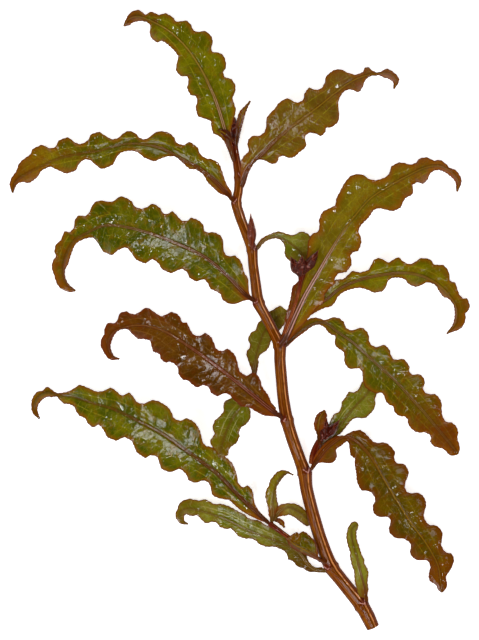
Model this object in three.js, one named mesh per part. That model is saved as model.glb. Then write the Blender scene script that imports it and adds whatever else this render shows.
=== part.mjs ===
// A cut shoot of curly-leaf pondweed, lying on a flat surface as it lies on a specimen table.
// The stem runs up the +Y axis and rests on its cut end, and the ruffled leaves reach down to the
// surface on both sides, so the shoot lies on the tips of its leaves.
// Units are millimetres, +Z is up and the surface is z = 0.

import * as THREE from "three";

// Blade sizes. A full-grown leaf is 45 to 75 mm long here and up to 12 mm wide. The blade is
// thickest at the midrib and comes to a fine edge at both margins.
const RIB_THICKNESS = 0.9;
const RIB_END_SHARE = 0.45;
const RIB_FADE = 0.09;
const BASE_HALF_WIDTH = 0.55;
const TIP_HALF_WIDTH = 0.25;
const STATION_STEP = 0.95;
const FEWEST_STATIONS = 8;
// Share of a leaf's length over which its heading is measured, each way.
const HEADING_SHARE = 0.035;

// The ruffle: each lobe of a margin droops a little, and the fold between two lobes stands up, by
// as much as the blade there is narrower than the blade around it.
const RUFFLE_GAIN = 0.8;
const RUFFLE_LIMIT = 0.9;
const RUFFLE_REACH = 3.6;
const RUFFLE_SAMPLES = 7;
// Least distance along the midrib between two places that set the width of a blade.
const LEAST_GAP = 0.15;
// Share of a leaf's length, at its base and at its tip, over which the ruffle dies away.
const RUFFLE_FADE = 0.12;

// The surface that the shoot lies on, and how softly a blade flattens where it meets it.
const FLOOR_Z = 0;
const FLOOR_SOFTNESS = 0.25;
const EDGE_CLEARANCE = 0.05;

// Stem section: flattened, eight-sided, and thicker at each node where a leaf was borne.
const STEM_SIDES = 8;
const STEM_CORNER = 1 / Math.cos(Math.PI / STEM_SIDES);
const STEM_FLATNESS = 0.72;
const STEM_STEP = 3.6;
const STEM_HEADING_REACH = 0.6;
const NODE_SWELL = 0.14;
const NODE_REACH = 1.1;
const NODE_SPREAD = 0.6 * NODE_REACH;
const NODE_ROOM = 1.8 * NODE_REACH;
const STEM_END_ROOM = 0.4;

const CURVE_SAMPLES = 400;

// Leaves. rib holds points along the midrib from base to tip, [x, y, z]. left and right hold points
// along the two margins, [x, y], over every lobe and into every fold, looking from the base to the
// tip. The rises are the angles in degrees at which the two half-blades leave the midrib, evenly
// spaced from base to tip, up being positive. foot is half the width of the leaf's foot.
const LEAVES = {
  left_leaf_1: {
    rib: [
      [-1.9, 40.9, 7.9], [-2.5, 42.9, 8], [-3.1, 45, 8.2], [-3.8, 47.5, 8.5], [-5.5, 53.2, 9],
      [-7.4, 58, 9.2], [-10.2, 63.5, 8.6], [-14, 68.8, 7.2], [-18, 72.5, 5.6], [-22.5, 75, 3.8],
      [-25.8, 76.1, 1.8], [-28, 75.4, 0.4], [-29.1, 73.7, -0.5],
    ],
    left: [
      [-3.8, 44.2], [-5.2, 45.9], [-6.8, 46.8], [-7.2, 48.5], [-7.3, 49.6], [-9, 50.4],
      [-10.6, 51.1], [-11.1, 53], [-10.7, 54.8], [-11, 55.8], [-12.5, 56.4], [-13.2, 57.8],
      [-12.9, 59.5], [-13.1, 60.7], [-14.8, 61], [-15.9, 62.2], [-15.8, 64.2], [-15.5, 66],
      [-16.8, 67.7], [-18.6, 69.3], [-19.6, 69.8], [-20.8, 69.5], [-21.9, 70.3], [-22.7, 72],
      [-22.5, 73.5], [-23.2, 74.5], [-24.6, 74.9], [-26.1, 74.8], [-27.4, 74.2],
    ],
    right: [
      [-2.2, 46.8], [-1.6, 50], [-1.1, 53], [-1.8, 55.1], [-1.2, 57.2], [-1.2, 58.8],
      [-2.2, 60.3], [-3.8, 60.7], [-4.2, 61.8], [-3.6, 62.8], [-3.5, 64.4], [-4, 65.9],
      [-5.2, 66.9], [-6.8, 67], [-7.2, 67.7], [-6.8, 69.2], [-7.1, 70.9], [-8.4, 72.2],
      [-9.2, 72.4], [-10.5, 72], [-11.7, 72.6], [-12.4, 74.1], [-13.4, 75], [-14.6, 74.8],
      [-16.1, 74.8], [-16.9, 75.9], [-18.4, 76.8], [-20.5, 76.5], [-22.2, 77.3], [-23.6, 76.5],
      [-25.6, 77.8], [-27.4, 77.2], [-28.6, 75.6], [-29.2, 74.2],
    ],
    leftRise: [-5, -22, -24, -30],
    rightRise: [0, -6, -6, -10],
  },
  left_leaf_2: {
    rib: [
      [-2.2, 30.4, 7.4], [-3.2, 31.5, 8], [-6.5, 34.9, 9.6], [-10.2, 37.9, 10.6],
      [-14.1, 39.8, 11], [-19.8, 42.9, 11], [-27.9, 44, 10], [-36, 42.1, 8.2], [-39.8, 41.6, 7.2],
      [-44.8, 40.6, 5.4], [-51.4, 37.8, 3], [-56.2, 34.8, 0.8], [-57.1, 31.9, -0.5],
    ],
    left: [
      [-3, 30.6], [-5.4, 31.8], [-7.7, 33.9], [-9.6, 36.6], [-11, 37.5], [-12.4, 37.6],
      [-14.2, 39.1], [-16, 40.6], [-17.9, 40.8], [-19.8, 40.3], [-21.6, 39.6], [-23.8, 40.5],
      [-25.5, 41.8], [-27.2, 42.2], [-29.5, 41.8], [-30.8, 40.4], [-31.8, 38.8], [-34.2, 37.8],
      [-36.2, 38.8], [-37.5, 39.9], [-38.6, 40.1], [-40, 39.2], [-41.4, 37.3], [-43.2, 36.7],
      [-45.9, 37.6], [-47.8, 38.3], [-49.5, 37.5], [-50.9, 35.7], [-52.8, 34.4], [-55, 34.5],
      [-56.1, 33.8],
    ],
    right: [
      [-2.1, 32.1], [-3, 33.4], [-3.8, 35.2], [-4.5, 37.2], [-5.5, 39.3], [-7, 40.1],
      [-8.8, 40.5], [-10, 41.4], [-10.8, 43.2], [-12.4, 44.4], [-14, 43.6], [-15.6, 44.1],
      [-16.4, 45.6], [-18, 46.8], [-19.9, 47.1], [-21.6, 46.5], [-22.8, 45.4], [-23.9, 45.1],
      [-25.1, 45.5], [-26.2, 46.6], [-27.9, 47.2], [-29.4, 46.5], [-30.5, 45.4], [-31.8, 45.1],
      [-33.7, 46], [-35.5, 47], [-37.1, 46.5], [-38, 44.9], [-39.8, 44], [-41.1, 44.4],
      [-43.2, 45.7], [-45.2, 45], [-46.4, 43.2], [-47.5, 43], [-49.8, 43.9], [-51.8, 43],
      [-52.7, 41.4], [-53.9, 40.6], [-55.4, 39.3], [-56.2, 37.2], [-57.3, 35.7], [-57.9, 33.9],
      [-57.5, 32.5],
    ],
    leftRise: [-10, -10, -20, -35],
    rightRise: [15, 10, 5, -20],
  },
  left_leaf_3: {
    rib: [
      [2.8, 5.3, 7.4], [1.2, 6.5, 8.4], [-3.6, 11.4, 10.6], [-8.7, 15.6, 12], [-15.6, 19, 12.6],
      [-23, 21.8, 12.2], [-30.4, 23.5, 11], [-34.1, 23.5, 10], [-37.8, 22, 8.6],
      [-41.5, 19.8, 6.6], [-43.8, 15.6, 4.4], [-44.3, 11.9, 2.4], [-43.4, 9.1, 0.8],
      [-41.3, 7.3, -0.5],
    ],
    left: [
      [0.9, 4.7], [-1, 4], [-3, 4.2], [-4.5, 5.2], [-4.9, 6.4], [-6.2, 7.2], [-7.4, 7.8], [-8, 9],
      [-8.9, 10.1], [-11.2, 9.7], [-12.6, 10.5], [-13.2, 11.9], [-14.3, 12.6], [-15.5, 12.3],
      [-17.5, 11.7], [-19.4, 12.6], [-20.4, 14.1], [-21.8, 15.1], [-23.8, 14.1], [-25.9, 15],
      [-27, 16.6], [-28.4, 18], [-30.2, 17.5], [-32.2, 16.2], [-34.2, 17.2], [-35.5, 19.4],
      [-36.8, 20.5], [-38.5, 20.3], [-39.8, 19.8], [-41.1, 18.9], [-42, 17.1], [-42.9, 14.3],
      [-43.8, 12.5], [-43.8, 10.9], [-43.1, 9.2],
    ],
    right: [
      [2.6, 6.2], [2.2, 8.8], [1.9, 10.6], [1.1, 11.8], [0.6, 13.8], [-0.2, 15.2], [-1.2, 16.1],
      [-2.6, 15.9], [-3.4, 16.2], [-4.1, 17.8], [-4.2, 19.5], [-5, 21.2], [-6.4, 21.9],
      [-8, 21.8], [-8.8, 22.1], [-9.4, 24], [-10.6, 25], [-12.1, 25.5], [-13.2, 24.8],
      [-14.4, 24.8], [-15.4, 25.7], [-16.8, 27.1], [-18, 26.4], [-18.9, 26.5], [-20, 28],
      [-21.6, 29], [-23.2, 28.2], [-24.8, 27.8], [-26, 28.2], [-26.9, 29.6], [-29.8, 30.9],
      [-31.2, 29.8], [-32.2, 29.5], [-34, 29.8], [-35.5, 29.8], [-37, 28.8], [-37.6, 27.1],
      [-38.6, 26], [-40.4, 26.1], [-41.2, 25], [-41.4, 23.2], [-42.4, 22.1], [-44, 22.1],
      [-44.5, 20.9], [-45, 19.8], [-46.1, 18.9], [-46.5, 17.4], [-46.1, 15.9], [-46.9, 14.9],
      [-47.2, 13.5], [-46.6, 11.1], [-45.9, 9], [-44.1, 7.3], [-42.3, 6.9],
    ],
    leftRise: [-10, -12, -15, -40],
    rightRise: [10, 8, 0, -20],
  },
  left_leaf_4: {
    rib: [
      [9.9, -24, 6.2], [7.5, -22.2, 8], [2.1, -17.8, 10.8], [-3.6, -13.2, 12.4],
      [-9.5, -8.8, 12.6], [-14.8, -5.2, 11.8], [-19.2, -2.6, 10.6], [-22.9, -1.5, 9.4],
      [-25.8, -1.3, 8.4], [-28.8, -1.8, 7.2], [-31.5, -2.9, 6], [-32.9, -5, 4.8],
      [-32.9, -7.2, 3.7], [-31.9, -9, 2.8], [-30.2, -9.8, 2.2],
    ],
    left: [
      [7.5, -24.1], [5.8, -23.8], [3.8, -22.8], [2.2, -21.8], [0.1, -21.5], [-1.5, -19.9],
      [-2.5, -18.8], [-3.8, -18.3], [-5.8, -19], [-7.2, -18.2], [-7.9, -16.8], [-8.9, -16.3],
      [-11, -16.8], [-12.2, -15.9], [-13, -15.1], [-14.1, -15], [-15.4, -13.4], [-15.5, -12],
      [-16.5, -10.9], [-17.5, -10.5], [-18.8, -10.6], [-19.8, -9.8], [-20.2, -8.5], [-21.6, -8],
      [-22.1, -6.5], [-22.6, -5.1], [-24, -4.8], [-25.3, -4.8], [-26.9, -3.6], [-28.2, -2.3],
      [-29.9, -2.5], [-31.4, -3.8], [-32.1, -5.3], [-32.4, -6.6], [-32, -8.1], [-31.2, -9.2],
    ],
    right: [
      [8.8, -22.2], [7.8, -20.6], [7.1, -18.9], [5.6, -16.6], [5, -14.9], [4.1, -13.4], [3, -13],
      [1.7, -13.8], [0.2, -13], [-0.5, -11.5], [-0.8, -9.9], [-1.6, -8.3], [-3, -7.1],
      [-4.4, -7.8], [-5.8, -7.2], [-6.5, -5.6], [-7.4, -4], [-8.6, -3.2], [-9.9, -4],
      [-11.5, -3.6], [-12.5, -2.1], [-13.2, -0.7], [-14.3, -0.6], [-14.8, 0.6], [-15.8, 1.6],
      [-17, 2], [-18.5, 1.3], [-19.7, 1], [-21.1, 1.8], [-23.3, 3.1], [-24.9, 2.2], [-26.2, 1.5],
      [-27.2, 1.6], [-28.7, 2.2], [-30, 1.8], [-30.4, 0.4], [-31.2, -0.7], [-33, -0.7],
      [-34, -2.2], [-34, -3.5], [-34.9, -5.2], [-34.9, -6.6], [-34.2, -8], [-33.2, -9.5],
      [-31.9, -10.2],
    ],
    leftRise: [-10, -15, -20, -30],
    rightRise: [15, 10, 5, -20],
  },
  left_leaf_5: {
    rib: [
      [6.5, -50.2, 6], [3, -47, 6.6], [-0.1, -44.1, 7.2], [-5.9, -38.2, 8.2], [-10.4, -34.8, 9.2],
      [-14.8, -31.6, 9.6], [-19.2, -28.5, 9.8], [-26, -24.9, 9.4], [-31.8, -22.2, 8.4],
      [-37.1, -20.7, 7], [-41.6, -19.3, 5.6], [-44, -18.9, 4.9], [-46, -18.7, 4.3],
      [-48.2, -18, 3.4], [-50.4, -19, 2.2], [-51.6, -20.9, 1.2], [-51.6, -22.8, 0.3],
      [-50.3, -24.8, -0.5],
    ],
    left: [
      [5.5, -50.4], [3.4, -49.5], [1.8, -48.6], [0, -47.5], [-1.5, -46.2], [-2.5, -45.2],
      [-3.8, -44.8], [-5.5, -44.5], [-6.9, -43.8], [-7.3, -42], [-7.9, -40.7], [-8.9, -40.2],
      [-11.2, -40.8], [-12.8, -40.1], [-13.5, -38.6], [-14.8, -37.3], [-17.5, -38.1],
      [-19.5, -37.3], [-20.2, -35.8], [-20.8, -34.2], [-22.2, -33.8], [-23.8, -34.5],
      [-25.6, -33.3], [-26.5, -31.5], [-27.2, -30.1], [-28.6, -29.4], [-31.1, -30.2],
      [-33.1, -29.4], [-34, -27.8], [-35.2, -26.3], [-36.7, -26.9], [-38.2, -25.8],
      [-38.9, -24.5], [-40, -24.1], [-41.2, -22.8], [-41.7, -21.6], [-42.9, -21.1], [-44, -21],
      [-45, -20], [-46, -19.2], [-47.8, -19.3], [-49.5, -20], [-50.6, -21.4], [-50.7, -23.1],
    ],
    right: [
      [5.2, -48.2], [4.1, -46.6], [3.5, -45.2], [3.4, -43.5], [2.8, -42.1], [1.9, -41.2],
      [0.9, -41.8], [-0.2, -41], [-0.7, -39], [-1.1, -37.4], [-2.1, -35.5], [-3.8, -34],
      [-5.8, -32.2], [-7.6, -31.6], [-8.4, -31.4], [-9.2, -30.5], [-9.6, -29], [-10.2, -27.1],
      [-11.6, -25.3], [-13.4, -24.5], [-14.8, -25.1], [-16.4, -24.5], [-17.2, -23],
      [-18.2, -21.5], [-20, -20.4], [-21.7, -20], [-24.1, -20.8], [-25.6, -20.5], [-26.8, -19],
      [-27.7, -18.1], [-29.6, -18.8], [-30.9, -17.7], [-32.2, -16.9], [-34.2, -17.7],
      [-36, -17.8], [-37.8, -17], [-40, -16.2], [-41.6, -17.1], [-43.5, -18], [-45.8, -18.2],
      [-47.1, -17.3], [-48.4, -16.7], [-49.4, -17.6], [-51.1, -18.2], [-52.2, -19.9],
      [-52.4, -21.5], [-51.8, -23.8],
    ],
    leftRise: [-20, -15, -15, -30],
    rightRise: [20, 15, 5, -10],
  },
  left_leaf_6: {
    rib: [
      [20.8, -62.8, 2.6], [19.1, -62.6, 2.6], [17, -61.2, 2.9], [14.8, -58.2, 3.3],
      [12.5, -56.8, 3.5], [8.7, -55.2, 3.8], [4.9, -53.8, 4.1], [1, -52.2, 4.2],
      [-2.8, -50.2, 4.2], [-6.6, -48.8, 3.8], [-10.5, -47.6, 3], [-12.5, -47.3, 2.2],
      [-14.1, -47.5, 1.4], [-15, -48.4, 0.8], [-15.2, -49.5, 0.3], [-14.5, -50.6, -0.1],
      [-13, -51.2, -0.5],
    ],
    left: [
      [18.9, -63.2], [17.2, -63.1], [15.8, -62.3], [14.2, -61.6], [13.5, -60.7], [12.2, -60.1],
      [11.8, -58.9], [10.8, -57.7], [8.9, -56.9], [6.4, -56.8], [4.8, -56.2], [3.9, -55.3],
      [2.9, -54.8], [1.4, -54.8], [-0.4, -54.2], [-1.5, -53], [-2.4, -52.2], [-3.5, -52.4],
      [-5, -51.9], [-5.9, -50.8], [-6.9, -50.6], [-8.5, -51], [-9.6, -50.2], [-10.8, -49],
      [-12.1, -49.2], [-13.5, -48.8], [-14, -49.5], [-13.7, -50.6],
    ],
    right: [
      [20.5, -61.9], [18.6, -61.8], [17.1, -60.2], [16.5, -58.6], [14.5, -56.5], [12.2, -53.9],
      [9.8, -52.4], [7, -51.5], [4.5, -50.1], [3.1, -49.9], [1.8, -49.4], [1.3, -48.7],
      [0, -48.1], [-1.4, -47.3], [-3, -46.5], [-4.7, -46], [-6.5, -46], [-7.6, -45.4],
      [-8.8, -44.9], [-10.1, -45.2], [-11.5, -45], [-12.5, -44.8], [-13.9, -45.2], [-15, -45.8],
      [-15.6, -46.9], [-15.8, -47.6], [-16.2, -48.5], [-16, -49.9], [-15, -51.1],
    ],
    leftRise: [-10, -10, -15, -30],
    rightRise: [0, 5, 10, -20],
  },
  right_leaf_1: {
    rib: [
      [1.9, 36, 7.3], [2.4, 37.5, 7.7], [3.3, 39.1, 8.3], [5, 40.9, 9.2], [9.5, 45.4, 10.6],
      [14.4, 49.4, 11], [19.4, 53.1, 10.6], [23.9, 56.8, 9.4], [28, 59.7, 7.8], [31.3, 61.1, 6.2],
      [34.7, 61.7, 4.6], [37.5, 61.7, 2.6], [39.2, 60.1, 0.9], [38.6, 58, -0.5],
    ],
    left: [
      [1, 41], [2.2, 42.1], [1.9, 43.8], [2.2, 45.2], [3.3, 46.1], [4.7, 45.9], [6, 46.8],
      [6.5, 48.4], [6.6, 50.4], [7.5, 51.6], [8.7, 52.8], [9.5, 54], [10.9, 55], [12.5, 55.2],
      [13.2, 54.5], [14.7, 54.3], [15.7, 54.9], [16.1, 56.5], [17.2, 58], [18.8, 57.5],
      [20.2, 57.8], [21.1, 59.2], [21.5, 60.9], [23, 62.2], [25.2, 62.7], [27, 61.8],
      [29.2, 61.4], [30.6, 62], [31.2, 63.1], [32, 63.4], [33, 62.6], [34.4, 62], [35.6, 62.4],
      [36.5, 63], [38.6, 62.1], [39.8, 60.8], [39.8, 59.4],
    ],
    right: [
      [2.6, 37.6], [3.6, 39.2], [4.7, 40], [6.5, 39.7], [8.1, 39], [9.4, 39.5], [9.8, 40.6],
      [10.8, 41], [12.5, 40.5], [14, 41], [14.9, 41.9], [16, 42.7], [16.6, 43.9], [16.2, 45.1],
      [16.4, 46], [17.1, 46.6], [18.8, 46.4], [20.3, 45.9], [21.2, 46.8], [21.6, 48],
      [22.8, 48.1], [24.2, 49.1], [24.9, 50.6], [24.8, 52.2], [24.5, 53.9], [25, 55.7],
      [26.1, 57.1], [27.5, 57.6], [29.7, 57], [30.7, 58.2], [31.4, 60], [32.8, 61], [34.7, 61.2],
      [36.5, 60.6], [37.9, 60], [38.5, 59],
    ],
    leftRise: [15, 10, 5, -20],
    rightRise: [-10, -15, -20, -40],
    foot: 0.9,
  },
  right_leaf_2: {
    rib: [
      [11.4, -4.5, 7.8], [13.4, 0, 9.4], [16.2, 6, 11.4], [19.8, 12.3, 12.8], [22.1, 16.3, 13.6],
      [25.3, 21.5, 14.2], [28.5, 25.8, 14.2], [32.4, 30.2, 13.4], [37.2, 33.4, 11.8],
      [42, 36.1, 9.6], [46.3, 38.1, 7.2], [49.9, 38.6, 5], [53.1, 37.1, 2.6], [54.8, 34.7, 0.9],
      [54.5, 32.2, -0.5],
    ],
    left: [
      [11.8, -0.5], [13, 3.8], [14.2, 7.5], [15.2, 11], [16.2, 14.5], [16.9, 17.5], [17, 19.6],
      [17.9, 21.4], [19.5, 22.2], [19.8, 23.5], [19.7, 25], [20.6, 27], [22.3, 27.9],
      [23.7, 28.7], [24, 30.2], [24.9, 32.1], [26.1, 34.3], [27.3, 35.7], [29, 36.4],
      [30.9, 36.2], [32.2, 35.3], [34.5, 35], [36.5, 35.8], [37.4, 37], [37.8, 38.4],
      [39.2, 39.2], [41, 39.2], [42.5, 38.8], [43.9, 39.3], [44.9, 40.4], [46.4, 40.7],
      [48.6, 39.9], [50, 40.1], [51.4, 39.3], [52.6, 38.1], [54.2, 37.5], [55.3, 36], [55.5, 34],
    ],
    right: [
      [14.2, -2.6], [15.9, -1], [17.2, 0.6], [19, 2.8], [21, 4.5], [21.2, 6.4], [22.5, 8],
      [23.8, 9.2], [23.6, 10.3], [24.4, 11.5], [26.6, 12.1], [27.6, 13.4], [27.8, 14.6],
      [27.5, 16], [28.1, 16.8], [29.5, 17.3], [30.2, 19.1], [30, 20.7], [29.5, 22.1],
      [30.1, 23.5], [32.2, 25.7], [33.2, 27.2], [34.5, 27.8], [36.2, 27.5], [38.2, 27.1],
      [39.9, 27.9], [40.7, 29.4], [41.5, 30.5], [42.9, 31.2], [43.3, 32.5], [43, 33.7],
      [44.2, 34.3], [45.9, 34.1], [47, 35.2], [47.5, 36.5], [48.9, 37.4], [50.3, 37.4],
      [52.1, 36.5], [53.5, 35.3], [54.2, 33.4],
    ],
    leftRise: [-30, -15, 0, -20],
    rightRise: [15, 10, -15, -40],
  },
  right_leaf_3: {
    rib: [
      [15.2, 0.8, 5.6], [18.2, 3.1, 6.4], [21.7, 5.2, 7.2], [25.2, 8, 8.2], [30.5, 10.2, 9],
      [35.6, 11.3, 9.2], [40.4, 11.8, 8.6], [45.2, 11.1, 7.4], [49.1, 9.2, 5.8], [52.4, 6.1, 4],
      [54.3, 2.7, 2.1], [54, -0.8, 0.6], [51.9, -3.5, -0.5],
    ],
    left: [
      [17, 3.5], [19.5, 6.5], [22, 8.8], [24, 10.1], [25.8, 10.3], [26.9, 11.2], [28, 12.2],
      [30, 11.9], [31.8, 12.4], [32.8, 13.8], [33.5, 15], [34.5, 15.5], [35.9, 15], [37, 14.4],
      [38.4, 15.2], [39.6, 15.7], [40.7, 14.8], [42.2, 14], [43.9, 14.6], [45, 15.4], [46, 15.5],
      [47.5, 15.2], [48.6, 13.9], [49.8, 13.8], [51, 13.7], [52, 12.5], [52.5, 10.8], [52.6, 9.8],
      [53.9, 9.3], [54.4, 8], [55, 6.4], [55.9, 5.5], [56.9, 5.5], [57.6, 3.9], [57.3, 2.3],
      [56.5, 1.7], [56.6, 0.1], [55.6, -2], [54.2, -2.8],
    ],
    right: [
      [17.2, 0.8], [19.1, 2], [21.2, 3], [22.8, 3.4], [23.8, 4.4], [24.5, 5.8], [25.8, 6.9],
      [28, 7.7], [29.8, 8], [31.8, 7.5], [33.8, 6.8], [35.5, 7.1], [36.5, 8.2], [37.1, 9.8],
      [38.2, 10.5], [39.8, 10.5], [41.2, 10.1], [42.2, 9], [43.8, 8.3], [45.2, 8.6], [46.9, 9.4],
      [48.8, 8.7], [49.9, 7.1], [50.9, 5.8], [52.2, 5.3], [53.4, 3.9], [53.8, 2.2], [53.7, 0.2],
      [53, -1.7],
    ],
    leftRise: [10, 10, 0, -15],
    rightRise: [-20, -30, -35, -50],
  },
  right_leaf_4: {
    rib: [
      [12, -5.8, 6.2], [13.6, -4.2, 6.6], [16.4, -2, 7.2], [18.9, -0.8, 8], [21.4, -0.8, 9],
      [24.4, -3, 10.2], [28, -5.5, 10.8], [31.7, -8.8, 10.8], [35.3, -12.1, 10], [39, -15.4, 8.9],
      [42.7, -19.4, 7.4], [46.3, -23.4, 5.8], [50, -27.8, 3.4], [53.1, -31.5, 1],
      [54.7, -33.7, -0.4],
    ],
    left: [
      [14, -2], [15.8, -0.5], [17.8, 0.5], [19.7, 0.5], [20.8, 0.1], [21.9, 0.1], [22.8, 0.5],
      [23.9, 0.5], [25.2, 0.2], [25.9, -0.4], [26.2, -1.3], [26.7, -2.1], [27.8, -2.5],
      [28.8, -2.2], [29.7, -1.9], [30.7, -2], [31.6, -2.8], [32.2, -3.9], [32.2, -5.3],
      [32.8, -6.2], [33.9, -6.7], [35, -6.4], [35.6, -6.1], [36.6, -6.6], [37.4, -7.5],
      [37.6, -8.6], [38.2, -9.6], [39.2, -9.9], [40.2, -9.6], [41.1, -9.9], [41.8, -10.8],
      [42.3, -11.6], [42.2, -12.7], [42.8, -13.5], [43.7, -13.7], [44.7, -13.5], [45.6, -14.1],
      [46.2, -15.5], [45.7, -16.9], [46.1, -17.9], [47.2, -18.5], [48.8, -18.5], [49.6, -19.2],
      [50.4, -20.6], [50.5, -22.5], [50.8, -24.2], [51.5, -25.4], [53.1, -25.7], [54.1, -26.5],
      [54.7, -28], [54.5, -29.7], [55, -31.1], [55.2, -32.7],
    ],
    right: [
      [12.3, -6.2], [13.3, -5.3], [14.2, -4.5], [16, -3.2], [17.5, -2], [18.6, -1.4],
      [19.5, -1.2], [20.5, -1.5], [21.2, -2], [21.7, -2.8], [22.5, -3.5], [23.7, -4],
      [23.8, -4.6], [23.6, -5.5], [23.8, -6.3], [24.5, -7.1], [25.7, -7.9], [26, -8.9],
      [25.9, -10], [26.3, -11.1], [27, -12], [28, -12.2], [28.9, -12.1], [29.9, -12.2],
      [30.5, -13], [30.6, -14.1], [30.9, -16], [31.6, -17.1], [32.6, -17.8], [33.5, -18.2],
      [34.3, -18.4], [35, -18.1], [35.7, -18.5], [36.1, -19.4], [36.6, -20.5], [37.3, -21.2],
      [38.3, -21.6], [38.5, -22.7], [39.1, -23.5], [40.1, -24.1], [41.2, -24.2], [41.9, -24.8],
      [42, -25.8], [42.7, -27], [43.6, -27.8], [44.8, -28.2], [46.2, -28.2], [47.5, -28.8],
      [47.9, -29.7], [47.7, -30.6], [48.4, -31.5], [49.7, -32.1], [50.8, -32.3], [51.6, -32.9],
      [52.3, -33.7], [53.5, -34.1],
    ],
    leftRise: [5, 15, 15, 10],
    rightRise: [-10, -15, -20, -20],
  },
  right_leaf_5: {
    rib: [
      [18.4, -36.4, 6.5], [19.6, -34.5, 7.2], [21.2, -32.4, 8.2], [23.5, -30.4, 9.4],
      [25.8, -29.1, 10.4], [27.9, -29.6, 10.8], [29.6, -30.7, 10.8], [31, -32.1, 10.6],
      [33.2, -34.9, 10], [36, -39.9, 8.8], [39.4, -45.5, 7.4], [43, -51.1, 5.8],
      [46.9, -56.4, 4.1], [49.7, -61.7, 2], [50.2, -64.5, 0.9], [50.7, -68.4, -0.5],
    ],
    left: [
      [18.9, -33.6], [20.2, -31.8], [21.6, -30.4], [23.4, -29.3], [24.8, -28.8], [25.9, -28.8],
      [27, -28.3], [28, -27.8], [29.2, -27.5], [30.2, -27.5], [31.1, -28.1], [32, -29],
      [33, -30.1], [34.3, -30.6], [35.7, -30.5], [36.9, -30.9], [37.8, -31.7], [38.6, -32.7],
      [38.7, -33.6], [38.5, -34.5], [38.8, -35.3], [39.7, -35.8], [40.7, -35.9], [41.5, -36.5],
      [42.1, -37.7], [42.1, -38.9], [41.6, -40], [41.2, -40.9], [41.2, -41.8], [41.6, -42.7],
      [42.7, -43.2], [43.9, -43.2], [45, -43.4], [46, -44.3], [46.5, -45.5], [46.5, -46.6],
      [46.1, -48], [46.1, -49.5], [46.7, -50.6], [47.6, -51.3], [48.7, -51.2], [49.7, -51.8],
      [50.5, -52.8], [50.8, -54], [50.5, -55.3], [50.5, -56.6], [51.1, -57.7], [52, -58.2],
      [53, -58.5], [53.5, -59.3], [53.6, -60.4], [53.2, -62], [52.6, -63.2], [51.8, -64],
      [51.7, -65], [52, -66.1], [51.9, -67.1], [51.4, -67.8],
    ],
    right: [
      [19.5, -35.9], [20.5, -35.7], [21.6, -35.8], [22.8, -35.8], [23.7, -35.3], [24.2, -34.3],
      [24.2, -33.3], [23.9, -32.4], [24.5, -31.9], [25.5, -31.3], [26.1, -30.6], [26.5, -30.3],
      [27, -30.6], [27.2, -31.3], [27.3, -32.5], [27.6, -33.8], [28.6, -34.6], [28.6, -35.7],
      [28.8, -37.2], [29, -38.8], [29.2, -40.3], [29.7, -41.6], [30.3, -42.6], [31.6, -42.7],
      [32.8, -43.1], [33.5, -44.1], [33.7, -45.2], [33.3, -46.2], [33.2, -47.3], [33.5, -48.4],
      [34.3, -49.1], [35.3, -49.4], [36.4, -49.2], [37.3, -49.5], [37.7, -50.3], [37.4, -51.2],
      [37.2, -52.3], [37.6, -53.5], [38.4, -54.3], [39.5, -54.8], [40.6, -54.8], [41.6, -55.1],
      [42.5, -55.8], [42.8, -56.7], [42.6, -58], [42.8, -58.9], [43.6, -59.8], [44.8, -60.3],
      [46.4, -60.2], [47.3, -60.7], [47.7, -61.8], [47.4, -63.2], [47.3, -64.5], [47.8, -65.7],
      [48.8, -66.2], [49.3, -66.8], [49.7, -67.8],
    ],
    leftRise: [5, 10, 10, 5],
    rightRise: [-25, -15, -20, -25],
  },
  right_leaf_6: {
    rib: [
      [31.6, -69.4, 2.2], [31.3, -67.5, 3], [30.7, -65, 3.8], [30, -62.5, 4.3],
      [29.3, -59.5, 4.4], [28.5, -56.8, 4.1], [28, -54.4, 3.6], [28, -52.6, 3],
      [28.7, -51.6, 2.4], [29.7, -51.3, 1.8],
    ],
    left: [
      [29.9, -69.5], [29.2, -67.5], [28.8, -65.8], [28.6, -64.2], [28.5, -62.8], [27.9, -61.2],
      [27.5, -59.5], [27.5, -58], [26.9, -56.2], [26.6, -54.5], [26.8, -52.8], [27.4, -51.4],
      [28.2, -50.6], [29.1, -50.4],
    ],
    right: [
      [32, -69.2], [32.2, -67.2], [32, -66], [32.1, -64.5], [32.2, -63.2], [31.9, -62.2],
      [31.2, -61], [31.1, -59.8], [30.6, -59], [30.2, -57.8], [29.8, -56.4], [29.3, -55],
      [29.2, -53.5], [29.4, -52.6],
    ],
    leftRise: [10, 10, 10],
    rightRise: [-10, -10, -10],
  },
  small_leaf_upper_right: {
    rib: [
      [4.5, 18.3, 6.6], [5.4, 19.4, 7], [7, 20.4, 7.6], [9.2, 20.8, 8], [11.2, 19.9, 8],
      [13.4, 18.5, 7.6], [15.4, 16.7, 7], [16.8, 14.8, 6.2],
    ],
    left: [
      [5, 20], [7.5, 21.5], [10, 22.1], [12.2, 21.4], [13.9, 21.4], [14.7, 22], [15.7, 22.1],
      [17.2, 21.4], [18, 20], [18.1, 18],
    ],
    right: [
      [7, 19.9], [10, 20], [10.7, 19.3], [11.2, 17.9], [11.1, 16.8], [11.8, 15.3], [12.5, 14.7],
      [13.2, 13.9], [15, 13.5],
    ],
    leftRise: [0, 10, 10],
    rightRise: [-10, -20, -20],
  },
  upper_shoot_leaf: {
    rib: [
      [11, -3.5, 5.8], [12.5, 0, 6.8], [13.8, 4.2, 7.6], [14.8, 8, 8], [15, 10.2, 8],
    ],
    left: [
      [11.4, 1], [12.5, 5], [13, 8.2],
    ],
    right: [
      [14, 0], [15.2, 4.2], [15.8, 8],
    ],
    leftRise: [10, 10, 0],
    rightRise: [-10, -10, -10],
  },
  rear_shoot_leaf_up: {
    rib: [
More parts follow.
